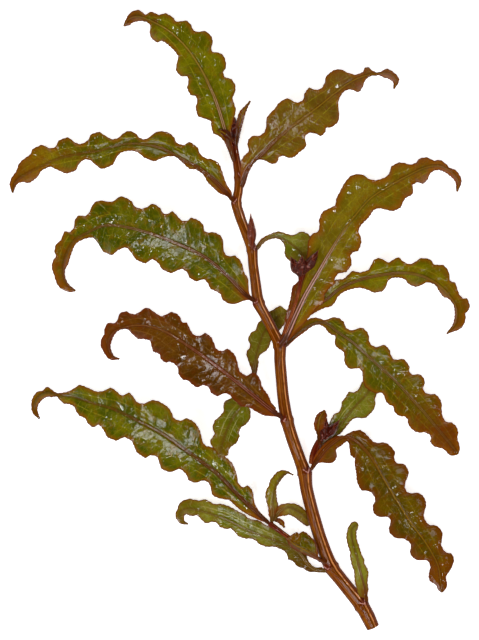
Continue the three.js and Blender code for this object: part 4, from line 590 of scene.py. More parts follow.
        ],
        "left": [
            (20.8, -29.2), (22.2, -26), (23.5, -23.5), (24.5, -23.1), (25, -22.5),
            (25.3, -21.4), (25.5, -20.3), (26.2, -19.5), (26.6, -18.8), (27.1, -18),
            (28.5, -18), (29.4, -17.5), (30, -16.6), (30.4, -15.6),
        ],
        "right": [
            (22.8, -30.2), (24.1, -29.1), (25.3, -28.3), (26.2, -27.2), (27, -26.2),
            (27.7, -25.3), (28.5, -24.7), (29.5, -24.5), (31, -24.6), (31.9, -24.2),
            (33, -23.1), (33.6, -22.2), (33.9, -21.1), (33.8, -20), (34, -19.1), (34.5, -17.8),
            (34.5, -16.2),
        ],
        "rises": [(15, 10, 5), (-5, -10, -10)],
    },
    "left_shoot_sheath_leaf": {
        "rib": [
            (20.4, -60.2, 4.8), (18.5, -58.9, 5.6), (16.2, -57.5, 6.2), (13.8, -56.2, 6.8),
            (11.5, -54.5, 7.2),
        ],
        "left": [
            (17.2, -59.2), (14.8, -58), (12.5, -56.5),
        ],
        "right": [
            (19.9, -59.8), (19.5, -58), (19.1, -56.2), (18.5, -55), (17.5, -54), (16.5, -53.1),
            (15.5, -52.8), (14.9, -53.5), (14.2, -53), (13, -52.1), (12, -51.9),
        ],
        "rises": [(-45, -40, -30), (20, 15, 10)],
    },
    "left_shoot_leaf_hooked": {
        "rib": [
            (8, -49.6, 6.2), (8.1, -48.1, 7), (8.2, -44.9, 7.6), (8.8, -41.8, 7.8),
            (10, -39.5, 7.2), (11.6, -38.2, 6.2), (13.4, -38.8, 5),
        ],
        "left": [
            (7.1, -48.8), (7, -47), (6.5, -45.2), (6.3, -43.8), (6.5, -42.5), (7.1, -41.5),
            (7.5, -40), (8.2, -39.1), (9.2, -38), (10.2, -37.6), (11, -37.5), (12, -37.8),
        ],
        "right": [
            (9, -47.8), (9.6, -46.4), (9.4, -45.5), (9.2, -44.2), (9.1, -43), (9.2, -41.8),
            (10, -40.5), (10.8, -39.4), (11.5, -38.8), (12.2, -38.5),
        ],
        "rises": [(10, 10, 0), (-20, -35, -40)],
    },
    "left_shoot_leaf_arched": {
        "rib": [
            (9.1, -49, 5.6), (9.9, -47.8, 6), (12.2, -46.9, 5.8), (14.2, -47.7, 4.2),
            (16.2, -49.2, 2.3), (18, -51.2, 0.9),
        ],
        "left": [
            (9.2, -46.8), (10, -46.2), (11.2, -45.9), (12.5, -45.8), (14, -46), (15.2, -46.6),
            (16.2, -47.5), (17, -48.6), (17.8, -50.2),
        ],
        "right": [
            (10.2, -49.2), (11.5, -49), (12.5, -48.9), (13.5, -49.4), (14.5, -50.2),
            (15.8, -51.2), (17, -51.8),
        ],
        "rises": [(10, 5, 0), (-15, -20, -20)],
    },
    "left_shoot_leaf_small": {
        "rib": [
            (9.2, -50.1, 4.6), (10.1, -50.4, 4.4), (11.2, -52, 3.6),
        ],
        "left": [
            (10.8, -50.1),
        ],
        "right": [
            (9.8, -51.1),
        ],
        "rises": [(0, 0, 0), (0, 0, 0)],
    },
    "tip_young_leaf": {
        "rib": [
            (-0.8, 44.8, 7.2), (-0.5, 47, 7.6), (-0.1, 49, 8.2), (0.5, 51.2, 8.8),
            (1.5, 53.1, 9), (2.6, 54.7, 8.8),
        ],
        "left": [
            (-1.2, 46.8), (-1, 48.8), (-0.7, 50.5), (-0.2, 51.9), (1.1, 53.4),
        ],
        "right": [
            (-0.1, 45.5), (0.5, 48.2), (1, 50), (1.6, 52.1),
        ],
        "rises": [(30, 30, 30), (30, 30, 30)],
    },
    "tip_bract": {
        "rib": [
            (-2.5, 45.4, 9.4), (-3.6, 46.4, 9.6), (-5.6, 47.6, 9.4),
        ],
        "left": [
            (-3.8, 45.5),
        ],
        "right": [
            (-2.6, 47.1),
        ],
        "rises": [(10, 10, 10), (-10, -10, -10)],
    },
    "lower_shoot_young_leaf": {
        "rib": [
            (19.8, -30, 7.2), (19.5, -28, 8.2), (19.6, -25.8, 9), (20.2, -23.9, 9.2),
            (21.2, -22.5, 9),
        ],
        "left": [
            (19.2, -28.8), (18.5, -26.9), (18.4, -25.8), (18.9, -24), (20, -22.9),
        ],
        "right": [
            (20.4, -28.5), (20.9, -26.8), (21.5, -25), (21.8, -23.8),
        ],
        "rises": [(35, 35, 30), (35, 35, 30)],
    },
}

# Stems, from the thick end to the thin end: (x, y, z, width).
STEMS = {
    "main_stem": [
        (33.4, -77.2, 1.18, 3.2), (32, -74.2, 1.3, 3.6), (30.6, -71.8, 1.45, 3.6),
        (25.3, -65.1, 2, 3.4), (22.9, -61.9, 2.4, 3.6), (20.2, -55, 3, 3.25),
        (17.8, -46.8, 3.6, 3.2), (16.6, -41.8, 3.9, 3.25), (16.2, -38.5, 4.1, 3.5),
        (15, -35, 4.3, 3.1), (13.2, -30, 4.7, 3.1), (11.8, -25.2, 5, 3.2), (10.9, -20, 5.3, 3),
        (10.4, -15, 5.6, 2.9), (10, -10, 5.8, 2.9), (9.9, -6.5, 6, 3.1), (8, -2.2, 6.2, 2.6),
        (6.1, 1.5, 6.3, 2.7), (4.7, 4.2, 6.4, 2.9), (3.8, 10, 6.5, 2.6), (3.3, 13.8, 6.6, 2.5),
        (3, 17.4, 6.6, 2.6), (1.5, 21.8, 6.6, 2.5), (-0.1, 26.2, 6.6, 2.6),
        (-0.9, 29.2, 6.6, 2.5), (-0.4, 32.5, 6.5, 2.3), (-0.3, 35.5, 6.4, 2.3),
        (-0.9, 40, 6.3, 2), (-1.4, 43.1, 6.2, 1.8), (-1.65, 45, 6.2, 1.7), (-1.8, 46.5, 6.2, 1.5),
    ],
    "left_side_shoot": [
        (20.2, -60.3, 3.5, 1), (18.2, -58.6, 3.9, 1.05), (15, -56.2, 4.7, 1.05),
        (11.8, -54.1, 5.4, 1.15), (9.2, -52.2, 5.8, 1.3), (7.4, -50.9, 6, 1.4),
    ],
    "rear_side_shoot": [
        (8.7, -22.4, 4.9, 1.1), (7, -20.5, 5.6, 1), (4.2, -17.8, 6.4, 0.9),
        (2.7, -16.2, 7, 0.8),
    ],
    "upper_right_shoot": [
        (11.1, -3.3, 9, 1), (12.4, 0, 10.4, 0.9), (13.9, 4.2, 11.6, 0.8), (14.8, 7.5, 12.5, 0.9),
        (15.1, 9.6, 13.2, 1.1), (15.3, 10.8, 13.5, 1.7), (15.4, 12, 13.9, 2.1),
    ],
    "lower_right_shoot": [
        (18.2, -36, 4.8, 2), (18.5, -34.2, 5.3, 2.3), (19, -32.2, 6, 2),
        (19.8, -30.2, 6.8, 1.5),
    ],
}

# Where leaves and side shoots leave the main stem, from the cut end up: (x, y, side), the side
# being 1 on the left and -1 on the right.
STEM_NODES = [
    (30.6, -71.8, -1), (22.9, -61.9, 1), (16.2, -38.5, -1), (11.8, -25.2, 1), (9.9, -6.5, -1),
    (4.7, 4.2, 1), (3, 17.4, -1), (-0.9, 29.2, 1), (-0.3, 35.5, -1), (-1.4, 43.5, 1),
]

# Closed buds: base, tip and greatest width.
BUDS = {
    "tip_bud": ((-1.65, 45.6, 6.3), (-1.6, 51.7, 7.2), 2.5),
    "side_bud": ((3.1, 17.8, 8.2), (2.7, 26.8, 8.8), 2.3),
    "upper_shoot_bud_left": ((14.9, 10.9, 13.7), (12.6, 15.9, 14.8), 2.9),
    "upper_shoot_bud_middle": ((15.2, 11.2, 14.3), (15.5, 16.1, 16.2), 3),
    "upper_shoot_bud_right": ((15.8, 11.6, 14), (19.7, 17.5, 15.6), 2.7),
    "lower_shoot_bud_left": ((20.5, -30.2, 7.8), (21.8, -24.4, 9), 2.4),
    "lower_shoot_bud_right": ((21.1, -29.8, 7.9), (25, -24.9, 8.8), 2.4),
}


def mix(a, b, t):
    return a + (b - a) * t


def smooth(t):
    t = np.clip(t, 0.0, 1.0)
    return t * t * (3.0 - 2.0 * t)


def hill(distance, reach):
    """A smooth hill: 1 at no distance, and nearly 0 at twice the reach."""
    return np.exp(-((distance / reach) ** 2))


def along(values, share):
    """The value at each share of a row of evenly spaced values."""
    values = np.array(values, float)
    x = np.clip(share, 0, 1) * (len(values) - 1)
    i = np.minimum(x.astype(int), len(values) - 2)
    return mix(values[i], values[i + 1], smooth(x - i))


def noise(x, y, cell, seed):
    """Smooth seeded noise from -1 to 1, with bumps about one cell across."""
    rng = np.random.RandomState(seed)
    grid = rng.uniform(-1, 1, (NOISE_CELLS + 1, NOISE_CELLS + 1))
    x, y = np.broadcast_arrays(x / cell, y / cell)
    x, y = x + NOISE_CELLS // 2, y + NOISE_CELLS // 2
    i = np.clip(x.astype(int), 0, NOISE_CELLS - 1)
    j = np.clip(y.astype(int), 0, NOISE_CELLS - 1)
    u, v = smooth(x - i), smooth(y - j)
    low = mix(grid[i, j], grid[i + 1, j], u)
    high = mix(grid[i, j + 1], grid[i + 1, j + 1], u)
    return mix(low, high, v)


def trace_curve(points):
    """Points along a smooth curve through the given points, and the level distance run to each."""
    p = np.array([q[:3] for q in points], float)
    p = np.vstack([2 * p[0] - p[1], p, 2 * p[-1] - p[-2]])
    t = np.arange(CURVE_SAMPLES + 1) / CURVE_SAMPLES * (len(points) - 1)
    k = np.minimum(t.astype(int), len(points) - 2)
    w = (t - k)[:, None]
    x0, x1, x2, x3 = p[k], p[k + 1], p[k + 2], p[k + 3]
    d0 = np.sqrt(np.linalg.norm(x1 - x0, axis=1))[:, None]
    d1 = np.sqrt(np.linalg.norm(x2 - x1, axis=1))[:, None]
    d2 = np.sqrt(np.linalg.norm(x3 - x2, axis=1))[:, None]
    t1 = ((x1 - x0) / d0 - (x2 - x0) / (d0 + d1) + (x2 - x1) / d1) * d1
    t2 = ((x2 - x1) / d1 - (x3 - x1) / (d1 + d2) + (x3 - x2) / d2) * d1
    c2 = -3 * x1 + 3 * x2 - 2 * t1 - t2
    c3 = 2 * x1 - 2 * x2 + t1 + t2
    line = x1 + t1 * w + c2 * w**2 + c3 * w**3
    step = np.linalg.norm(np.diff(line[:, :2], axis=0), axis=1)
    return line, np.concatenate([[0.0], np.cumsum(step)])


def at_run(line, run, s):
    """Points of a traced curve at the runs s; before its start the curve goes on straight."""
    s = np.asarray(s, float)
    found = np.stack([np.interp(s, run, line[:, i]) for i in range(3)], axis=-1)
    start = (line[START_SAMPLES] - line[0]) / run[START_SAMPLES]
    return found + np.minimum(s, 0)[..., None] * start


def frame_at(line, run, s, reach):
    """Points at the runs s, the headings there, and the level directions to the left."""
    inside = np.clip(s, 0, run[-1])
    back = at_run(line, run, np.maximum(0, inside - reach))
    ahead = at_run(line, run, np.minimum(run[-1], inside + reach))
    heading = ahead - back
    heading /= np.linalg.norm(heading, axis=-1, keepdims=True)
    left = np.stack([-heading[..., 1], heading[..., 0], 0 * heading[..., 0]], axis=-1)
    left /= np.linalg.norm(left, axis=-1, keepdims=True)
    return at_run(line, run, s), heading, left


def places_of(line, run, points):
    """For each point, where along the curve it lies and how far off the curve it is."""
    start, runs, reaches = 0, [], []
    for x, y in points:
        gap = np.hypot(line[start:, 0] - x, line[start:, 1] - y)
        start += int(np.argmin(gap))
        runs.append(run[start])
        reaches.append(gap.min())
    return runs, reaches


def widths_of(line, run, points, foot):
    """Half-width of one half of a blade: at its foot, at each margin point, and at the tip."""
    end = run[-1]
    runs, reaches = [0.0], [foot]
    for place, reach in zip(*places_of(line, run, points)):
        place = max(place, runs[-1] + LEAST_GAP)
        if place < end - LEAST_GAP:
            runs.append(place)
            reaches.append(reach)
    return np.array(runs + [end]), np.array(reaches + [TIP_HALF_WIDTH])


def width_at(widths, s):
    """Half-width at the runs s, on a smooth curve that never swings past the margin's points."""
    runs, reaches = widths
    gap = np.diff(runs)
    secant = np.diff(reaches) / gap
    before, after = gap[:-1], gap[1:]
    weight_before, weight_after = 2 * after + before, after + 2 * before
    same_way = secant[:-1] * secant[1:] > 0
    slope = np.zeros(len(runs))
    safe_before = np.where(same_way, secant[:-1], 1)
    safe_after = np.where(same_way, secant[1:], 1)
    inner = (weight_before + weight_after) / (
        weight_before / safe_before + weight_after / safe_after)
    slope[1:-1] = np.where(same_way, inner, 0)
    i = np.clip(np.searchsorted(runs, s) - 1, 0, len(gap) - 1)
    t = np.clip((s - runs[i]) / gap[i], 0, 1)
    swing = slope[i] * (1 - t) - slope[i + 1] * t
    return mix(reaches[i], reaches[i + 1], smooth(t)) + gap[i] * t * (1 - t) * swing


def mean_width(widths, s, reach, samples):
    """Half-width of a blade without its lobes: the mean over a stretch round each run."""
    return sum(width_at(widths, s + gap) for gap in np.linspace(-reach, reach, samples)) / samples


def ruffle_at(widths, s):
    """Height of the ruffle at the margin: lobes droop and the folds between them stand up."""
    end = widths[0][-1]
    around = mean_width(widths, s, RUFFLE_REACH, RUFFLE_SAMPLES)
    fade = RUFFLE_FADE * end
    taper = smooth(s / fade) * smooth((end - s) / fade)
    lift = np.clip(around - width_at(widths, s), -RUFFLE_LIMIT, RUFFLE_LIMIT)
    return RUFFLE_GAIN * lift * taper


def above_floor(z, half_thickness):
    """A height that never goes under the table, and meets it softly."""
    room = z - half_thickness
    return half_thickness + (room + np.sqrt(room**2 + FLOOR_SOFTNESS**2)) / 2


def teeth_at(s, seed):
    """Fine forward-pointing teeth of a margin, from 0 to 1."""
    phase = (s / TOOTH_STEP + TOOTH_WANDER * noise(s, 0, TOOTH_CELL, seed)) % 1
    return np.where(phase < TOOTH_RISE, phase / TOOTH_RISE, (1 - phase) / (1 - TOOTH_RISE))


def add_mesh(name, vertices, faces, values=None):
    """A smooth-shaded object from points in millimetres, with one number a point by name."""
    mesh = bpy.data.meshes.new(name)
    mesh.from_pydata((np.asarray(vertices) * MM).tolist(), [], faces)
    mesh.validate()
    mesh.shade_smooth()
    for key, column in (values or {}).items():
        attribute = mesh.attributes.new(key, "FLOAT", "POINT")
        attribute.data.foreach_set("value", np.asarray(column, np.float32).ravel())
    piece = bpy.data.objects.new(name, mesh)
    bpy.context.scene.collection.objects.link(piece)
    return piece


def ring_faces(rings, corners):
    """Quads between rings of corners."""
    faces = []
    for i in range(rings - 1):
        a, b = i * corners, (i + 1) * corners
        for j in range(corners):
            k = (j + 1) % corners
            faces.append((a + j, a + k, b + k, b + j))
    return faces


def end_faces(rings, corners):
    """Quads that close the first and the last ring of a flat piece, from edge to edge."""
    faces = []
    last = (rings - 1) * corners
    for j in range(corners // 2 - 1):
        c, d = corners - 2 - j, corners - 1 - j
        faces.append((j, d, c, j + 1))
        faces.append((last + j, last + j + 1, last + c, last + d))
    return faces


def relief_at(s, off, side, calm, crinkle, seed):
    """Height of the waves, crinkles and furrows between the veins of a blade."""
    run, reach = s[:, None], side * off
    wave = WAVE_HEIGHT * noise(WAVE_STRETCH * run, reach, WAVE_CELL, seed + 5)
    bumps = CRINKLE_HEIGHT * crinkle * noise(run, reach, CRINKLE_CELL, seed + 6)
    slant = (run - FURROW_SLANT * off) / FURROW_STEP
    slant = slant + FURROW_WANDER * noise(run, reach, FURROW_CELL, seed + 7)
    furrows = FURROW_DEPTH * crinkle * np.cos(2 * np.pi * slant)
    return calm * (wave + bumps - furrows)


def half_blade(leaf, traced, s, side, crinkle, seed):
    """One half of a blade, from midrib to margin: both its surfaces, and its material's numbers."""
    line, run = traced
    end = run[-1]
    inside = np.clip(s, 0, end)
    share = inside / end
    at, _, left = frame_at(line, run, s, HEADING_SHARE * end)
    taper = smooth(inside / (CALM_FOOT * end)) * smooth((end - inside) / (CALM_TIP * end))
    tip = smooth((end - inside) / TIP_REACH)[:, None]
    key, rises = ("left", leaf["rises"][0]) if side == 1 else ("right", leaf["rises"][1])
    widths = widths_of(line, run, leaf[key], leaf.get("foot", BASE_HALF_WIDTH))
    width = width_at(widths, inside)
    width = width * mix(FOOT_SHARE, 1, smooth((s + FOOT_REACH) / FOOT_REACH))
    width = (width + TOOTH_DEPTH * taper * (teeth_at(s, seed + side) - 0.5))[:, None]
    v = COLUMNS[None, :]
    off = v * width
    rise = np.radians(along(rises, share))[:, None]
    z = at[:, 2:3] + off * (np.tan(rise) + ARCH * (1 - v))
    slanted = np.clip(inside[:, None] + FOLD_SKEW * (width - off), 0, end)
    z = z + ruffle_at(widths, slanted) * v**RUFFLE_POWER
    calm = smooth(off / CALM_RIB) * taper[:, None]
    z = z + relief_at(s, off, side, calm, crinkle, seed)
    lane = mean_width(widths, inside, LATERAL_REACH, LATERAL_SAMPLES)[:, None]
    lateral = off - LATERAL_AT * lane
    present = smooth((lane - LATERAL_FROM_WIDTH) / LATERAL_FADE)
    z = z + LATERAL_RIDGE * hill(lateral, LATERAL_HALF_WIDTH) * present * taper[:, None]
    narrow = RIB_HALF_WIDTH * mix(*RIB_NARROWING, share)[:, None]
    rib = hill(off, narrow) * mix(RIB_AT_TIP, 1, tip) * mix(*RIB_LOWERING, share)[:, None]
    half = mix(HALF_THICKNESS, MARGIN_HALF_THICKNESS, v**MARGIN_POWER)
    half = half * mix(TIP_THICKNESS, 1, tip)
    z = above_floor(z, EDGE_CLEARANCE + half)
    channel = 1 - RIB_CHANNEL * hill(off, RIB_CHANNEL_HALF_WIDTH)
    flat = at[:, None, :2] + side * off[:, :, None] * left[:, None, :2]
    upper = z + half + RIB_RIDGE * rib * channel
    lower = np.maximum(z - half - RIB_KEEL * rib, LEAST_HEIGHT)
    return {
        "top": np.concatenate([flat, upper[:, :, None]], axis=2),
        "bottom": np.concatenate([flat, lower[:, :, None]], axis=2),
        "edge": width - off,
        "across": side * off,
        "lateral": np.abs(lateral) + 1 - present,
    }


def leaf_object(name, leaf, seed):
    """A blade with midrib, lateral veins, crinkles, ruffled lobes and toothed margins."""
    line, run = trace_curve(leaf["rib"])
    end = run[-1]
    count = max(FEWEST_STATIONS, round((end + FOOT_REACH) / STATION_STEP))
    s = np.linspace(-FOOT_REACH, end, count + 1)
    crinkle = CRINKLES.get(name, 1)
    halves = [half_blade(leaf, (line, run), s, side, crinkle, seed) for side in (1, -1)]

    def across_blade(key):
        """Both halves of the blade side by side, from the left margin to the right."""
        return np.concatenate([halves[0][key][:, ::-1], halves[1][key][:, 1:]], axis=1)

    rings = np.concatenate([across_blade("top"), across_blade("bottom")[:, ::-1]], axis=1)
    corners = rings.shape[1]
    values = {}
    for key in ("edge", "across", "lateral"):
        row = across_blade(key)
        values[key] = np.concatenate([row, row[:, ::-1]], axis=1)
    values["run"] = np.repeat(s[:, None], corners, axis=1)
    values["share"] = np.repeat(np.clip(s, 0, end)[:, None] / end, corners, axis=1)
    faces = ring_faces(len(s), corners) + end_faces(len(s), corners)
    return add_mesh(name + "_blade", rings.reshape(-1, 3), faces, values)


def node_marks(s, places, section):
    """The swelling, the dark patches and the seams that the nodes give a stem."""
    swell = np.ones(len(s))
    patch = np.zeros((len(s), section.shape[1]))
    seam = np.full(patch.shape, float(NO_SEAM))
    for place, side in places:
        away = s - place
        swell = swell + sum(size * hill(away, reach) for size, reach in NODE_SWELLS)
        toward = side * section
        above = hill(away - PATCH_ABOVE, PATCH_REACH)[:, None]
        facing = smooth((toward - PATCH_FROM) / (PATCH_TO - PATCH_FROM))
        patch = np.maximum(patch, above * facing)
        round_by = np.abs(toward - AXIL_AT)
        arm = np.abs(away[:, None] - AXIL_RISE * round_by)
        seam = np.minimum(seam, arm + NO_SEAM * (round_by > AXIL_HALF_WIDTH))
    return swell, patch, seam


def stem_object(name, points, nodes, seed):
    """A flattened stem with flat bands, blunt ribs and swollen nodes."""
    line, run = trace_curve(points)
    end = run[-1]
    count = max(FEWEST_STEM_RINGS, round(end / STEM_STEP))
    s = np.linspace(0, end, count + 1)
    at, heading, left = frame_at(line, run, s, STEM_HEADING_REACH)
    up = np.cross(heading, left)
    runs, _ = places_of(line, run, [p[:2] for p in points])
    width = np.interp(s, runs, [p[3] for p in points])
    column = np.linspace(1, -1, STEM_COLUMNS + 1)[:-1]
    section = np.concatenate([column, -column])[None, :]
    upper = np.interp(-column, *zip(*STEM_PROFILE))
    upper = np.concatenate([upper, -np.sqrt(1 - column**2)])[None, :]
    corners = section.shape[1]
    node_runs, _ = places_of(line, run, [p[:2] for p in nodes])
    swell, patch, seam = node_marks(s, zip(node_runs, [p[2] for p in nodes]), section)
    waver = noise(s[:, None], STEM_WAVER_AROUND * section, STEM_WAVER_CELL, seed)
    half = (width / 2 * swell)[:, None] * (1 + STEM_WAVER * waver)
    ring = at[:, None, :] + left[:, None, :] * (half * section)[:, :, None]
    ring = ring + up[:, None, :] * (half * STEM_FLATNESS * upper)[:, :, None]
    ring[:, :, 2] = np.maximum(0, ring[:, :, 2])
    centres = np.stack([at[0] - CUT_DOME * heading[0], at[-1] + TIP_DOME * heading[-1]])
    centres[:, 2] = np.maximum(DOME_LEAST_HEIGHT, centres[:, 2])
    faces = ring_faces(len(s), corners)
    middle = len(s) * corners
    for j in range(corners):
        k = (j + 1) % corners
        faces.append((middle, k, j))
        faces.append((middle + 1, middle - corners + j, middle - corners + k))
    run_of = np.repeat(s[:, None], corners, axis=1)
    blocks = {
        "around": (section + 0 * half, [0, 0]),
        "upper": (upper + 0 * half, [0, 0]),
        "run": (run_of, [0, end]),
        "node": (patch, [0, 0]),
        "seam": (seam, [NO_SEAM, NO_SEAM]),
        "left": (end - run_of, [end, 0]),
    }
    values = {key: np.concatenate([block.ravel(), ends]) for key, (block, ends) in blocks.items()}
    return add_mesh(name, np.concatenate([ring.reshape(-1, 3), centres]), faces, values)


def scale_patch(base, tip, width, turn, low, high, proud, seed):
    """One scale of a bud: a pointed patch wrapped round the bud's spindle."""
    base, tip = np.array(base, float), np.array(tip, float)
    length = np.linalg.norm(tip - base)
    heading = (tip - base) / length
    left = np.array([-heading[1], heading[0], 0])
    left /= np.linalg.norm(left)
    up = np.cross(heading, left)
    t = np.linspace(low, high, SCALE_ROWS)
    place = (t - low) / (high - low)
    narrowing = np.clip(1 - place**SCALE_POINT_POWER, SCALE_LEAST_SPREAD, 1)
    half_angle = SCALE_SPREAD * np.sqrt(narrowing)
    column = np.linspace(-1, 1, SCALE_COLUMNS)
    angle = turn + half_angle[:, None] * column[None, :]
    swell = np.minimum(t / SPINDLE_WIDEST, (1 - t) / (1 - SPINDLE_WIDEST))
    body = width / 2 * mix(mix(*SPINDLE_ENDS, t), 1, smooth(swell))
    lift = proud * mix(SCALE_FOOT_LIFT, 1, place)[:, None]
    lift = lift * (1 - SCALE_EDGE_DROP * column[None, :] ** 2)
    waver = noise(SCALE_WAVER_ALONG * t[:, None], SCALE_WAVER_AROUND * angle, 1, seed)
    wave = 1 + SCALE_WAVER * waver
    shells = []
    for gap in (SCALE_THICKNESS, 0.0):
        radius = body[:, None] * wave + lift + gap
        point = mix(base, tip, t[:, None])[:, None, :]
        point = point + left * (radius * np.cos(angle))[:, :, None]
        point = point + up * (radius * np.sin(angle))[:, :, None]
        shells.append(point if gap else point[:, ::-1])
    edge = (1 - np.abs(column))[None, :] * half_angle[:, None] * body[:, None]
    edge = np.minimum(edge, (high - t)[:, None] * length)
    across = np.repeat(column[None, :], SCALE_ROWS, axis=0)
    values = {
        "edge": np.concatenate([edge, edge[:, ::-1]], axis=1),
        "share": np.repeat(t[:, None], 2 * SCALE_COLUMNS, axis=1),
        "across": np.concatenate([across, across[:, ::-1]], axis=1),
    }
    return np.concatenate(shells, axis=1), values


def bud_object(name, base, tip, width, seed):
    """A closed bud of overlapping pointed scales, the outer ones shorter and prouder."""
    points, faces = [], []
    values = {"edge": [], "share": [], "across": []}
    for k in range(SCALES):
        low = SCALE_START_STEP * k
        high = min(1.0, SCALE_FIRST_END + SCALE_END_STEP * k)
        proud = SCALE_PROUD * (1 - k / SCALES)
        turn = FIRST_TURN + k * SCALE_TURN
        rings, found = scale_patch(base, tip, width * BODY_SHARE, turn, low, high, proud, seed + k)
        rows, corners = rings.shape[:2]
        part = ring_faces(rows, corners) + end_faces(rows, corners)
        count = k * rows * corners
        faces += [tuple(i + count for i in face) for face in part]
        points.append(rings.reshape(-1, 3))
        for key in values:
            values[key].append(found[key].ravel())
    joined = {key: np.concatenate(columns) for key, columns in values.items()}
    return add_mesh(name, np.concatenate(points), faces, joined)


def srgb(red, green, blue):
    """Linear colour from the usual 0 to 255 values."""
    share = np.array([red, green, blue]) / 255
    linear = np.where(share <= 0.04045, share / 12.92, ((share + 0.055) / 1.055) ** 2.4)
    return (*linear.tolist(), 1.0)


def painted(look):
    """A look with its colours made linear."""
    return {key: srgb(*value) if isinstance(value, tuple) else value for key, value in look.items()}


NOISE_ROUGHNESS = 0.55


class Shader:
    """Builds one node material around a Principled BSDF."""

    def __init__(self, name, constants):
        self.material = bpy.data.materials.new(name)
        self.material.use_nodes = True
        self.tree = self.material.node_tree
        self.tree.nodes.clear()
        self.principled = self.add("ShaderNodeBsdfPrincipled", constants)
        output = self.add("ShaderNodeOutputMaterial")
        self.tree.links.new(self.principled.outputs[0], output.inputs[0])

    def add(self, kind, inputs=None, **settings):
        node = self.tree.nodes.new(kind)
        for key, value in settings.items():
            setattr(node, key, value)
        for key, value in (inputs or {}).items():
            self.put(value, node.inputs[key])
        return node

    def put(self, value, socket):
        if isinstance(value, bpy.types.NodeSocket):
            self.tree.links.new(value, socket)
        else:
            socket.default_value = value

    def set(self, key, value):
        self.put(value, self.principled.inputs[key])

    def read(self, name):
        return self.add("ShaderNodeAttribute", attribute_name=name).outputs["Fac"]

    def math(self, operation, a, b=0.0):
        return self.add("ShaderNodeMath", {0: a, 1: b}, operation=operation).outputs[0]

    def times(self, a, b):
        return self.math("MULTIPLY", a, b)

    def plus(self, a, b):
        return self.math("ADD", a, b)

    def minus(self, a, b):
        return self.math("SUBTRACT", a, b)

    def size(self, a):
        return self.math("ABSOLUTE", a)

    def ramp(self, value, low, high, start=0.0, end=1.0):
        node = self.add("ShaderNodeMapRange", {
            "Value": value, "From Min": low, "From Max": high, "To Min": start, "To Max": end,
        }, interpolation_type="SMOOTHSTEP")
        return node.outputs[0]

    def vector(self, x, y, z):
        return self.add("ShaderNodeCombineXYZ", {0: x, 1: y, 2: z}).outputs[0]

    def noise(self, place, scale, detail):
        return self.add("ShaderNodeTexNoise", {
            "Vector": place, "Scale": scale, "Detail": detail, "Roughness": NOISE_ROUGHNESS,
        }).outputs[0]

    def cells(self, place, scale):
        node = self.add("ShaderNodeTexVoronoi", {"Vector": place, "Scale": scale},
                        feature="DISTANCE_TO_EDGE")
        return node.outputs["Distance"]

    def blend(self, share, a, b):
        return self.add("ShaderNodeMix", {0: share, 6: a, 7: b}, data_type="RGBA").outputs[2]

    def bump(self, height, distance):
        node = self.add("ShaderNodeBump", {
            "Height": height, "Distance": distance, "Strength": 1.0})
        self.set("Normal", node.outputs[0])


# Each noise of a material has its scale and its detail, and each ramp its range of values and the
# shares at both ends. Places on the blades and the stems are in millimetres.
LEAF_IOR = 1.33
LEAF_NOISES = {
    "broad": (0.2, 2.0), "patch": (0.55, 3.0), "fine": (2.6, 3.0), "wander": (0.35, 2.0),
    "crinkle": (0.8, 1.0),
}
LEAF_RAMPS = {
    "deep": (0.38, 0.62), "brown": (0.5, 0.66, 0, 0.55), "glow": (0.03, 0.12, 0.8, 0),
    "cross_vein": (0.015, 0.05, 1, 0), "net": (0.0, 0.05, 1, 0), "fine": (0.42, 0.62, 0, 0.55),
    "lateral": (0.05, 0.17, 0.7, 0), "line": (0.06, 0.42, 0.85, 0),
    "flank": (0.38, 0.7, 1, 0), "rib_inner": (0.08, 0.2, 0.05, 1), "rib_outer": (0.26, 0.38, 1, 0),
    "crest_along": (0.7, 0.92, 0.75, 0.3), "crest_across": (0.06, 0.2, 1, 0),
    "roughness": (0.3, 0.7, 0.05, 0.1), "rim_roughness": (0.06, 0.2, 0.8, 0),
}
# Cross veins stray, in steps from one to the next; a net of fainter veins lies between them.
VEIN_WANDER = 1.6
NET_SCALE = 0.8
NET_SHARE = 0.45
VEIN_SHARE = 0.42
# How far the patches shift the reddening towards the tip and the browning at the rim.
RED_SHIFT = 0.5
RIM_SHIFT = 1.5
RIM_FROM = 0.1
# Browning of the foot: from which run it fades, and its range across and its share at the midrib.
FOOT_FROM = 1.0
FOOT_ACROSS = (0.7, 1.8, 0.9)
# Midrib: its width at its upper end, the shares of its dark flanks at its ends, the share of its
# pale crest before that starts, and how much that crest weakens the thin line.
RIB_LEAST_WIDE = 0.8
FLANK_SHARES = (0.9, 0.4)
RIB_BEFORE = 0.1
CREST_WEAKER = 0.65
# Shares of the fine noise, the veins and the crinkles in the bump, and its height in metres.
BUMP_FINE = 0.04
BUMP_VEINS = 0.3
BUMP_CRINKLE = 0.8
LEAF_BUMP = 0.00009


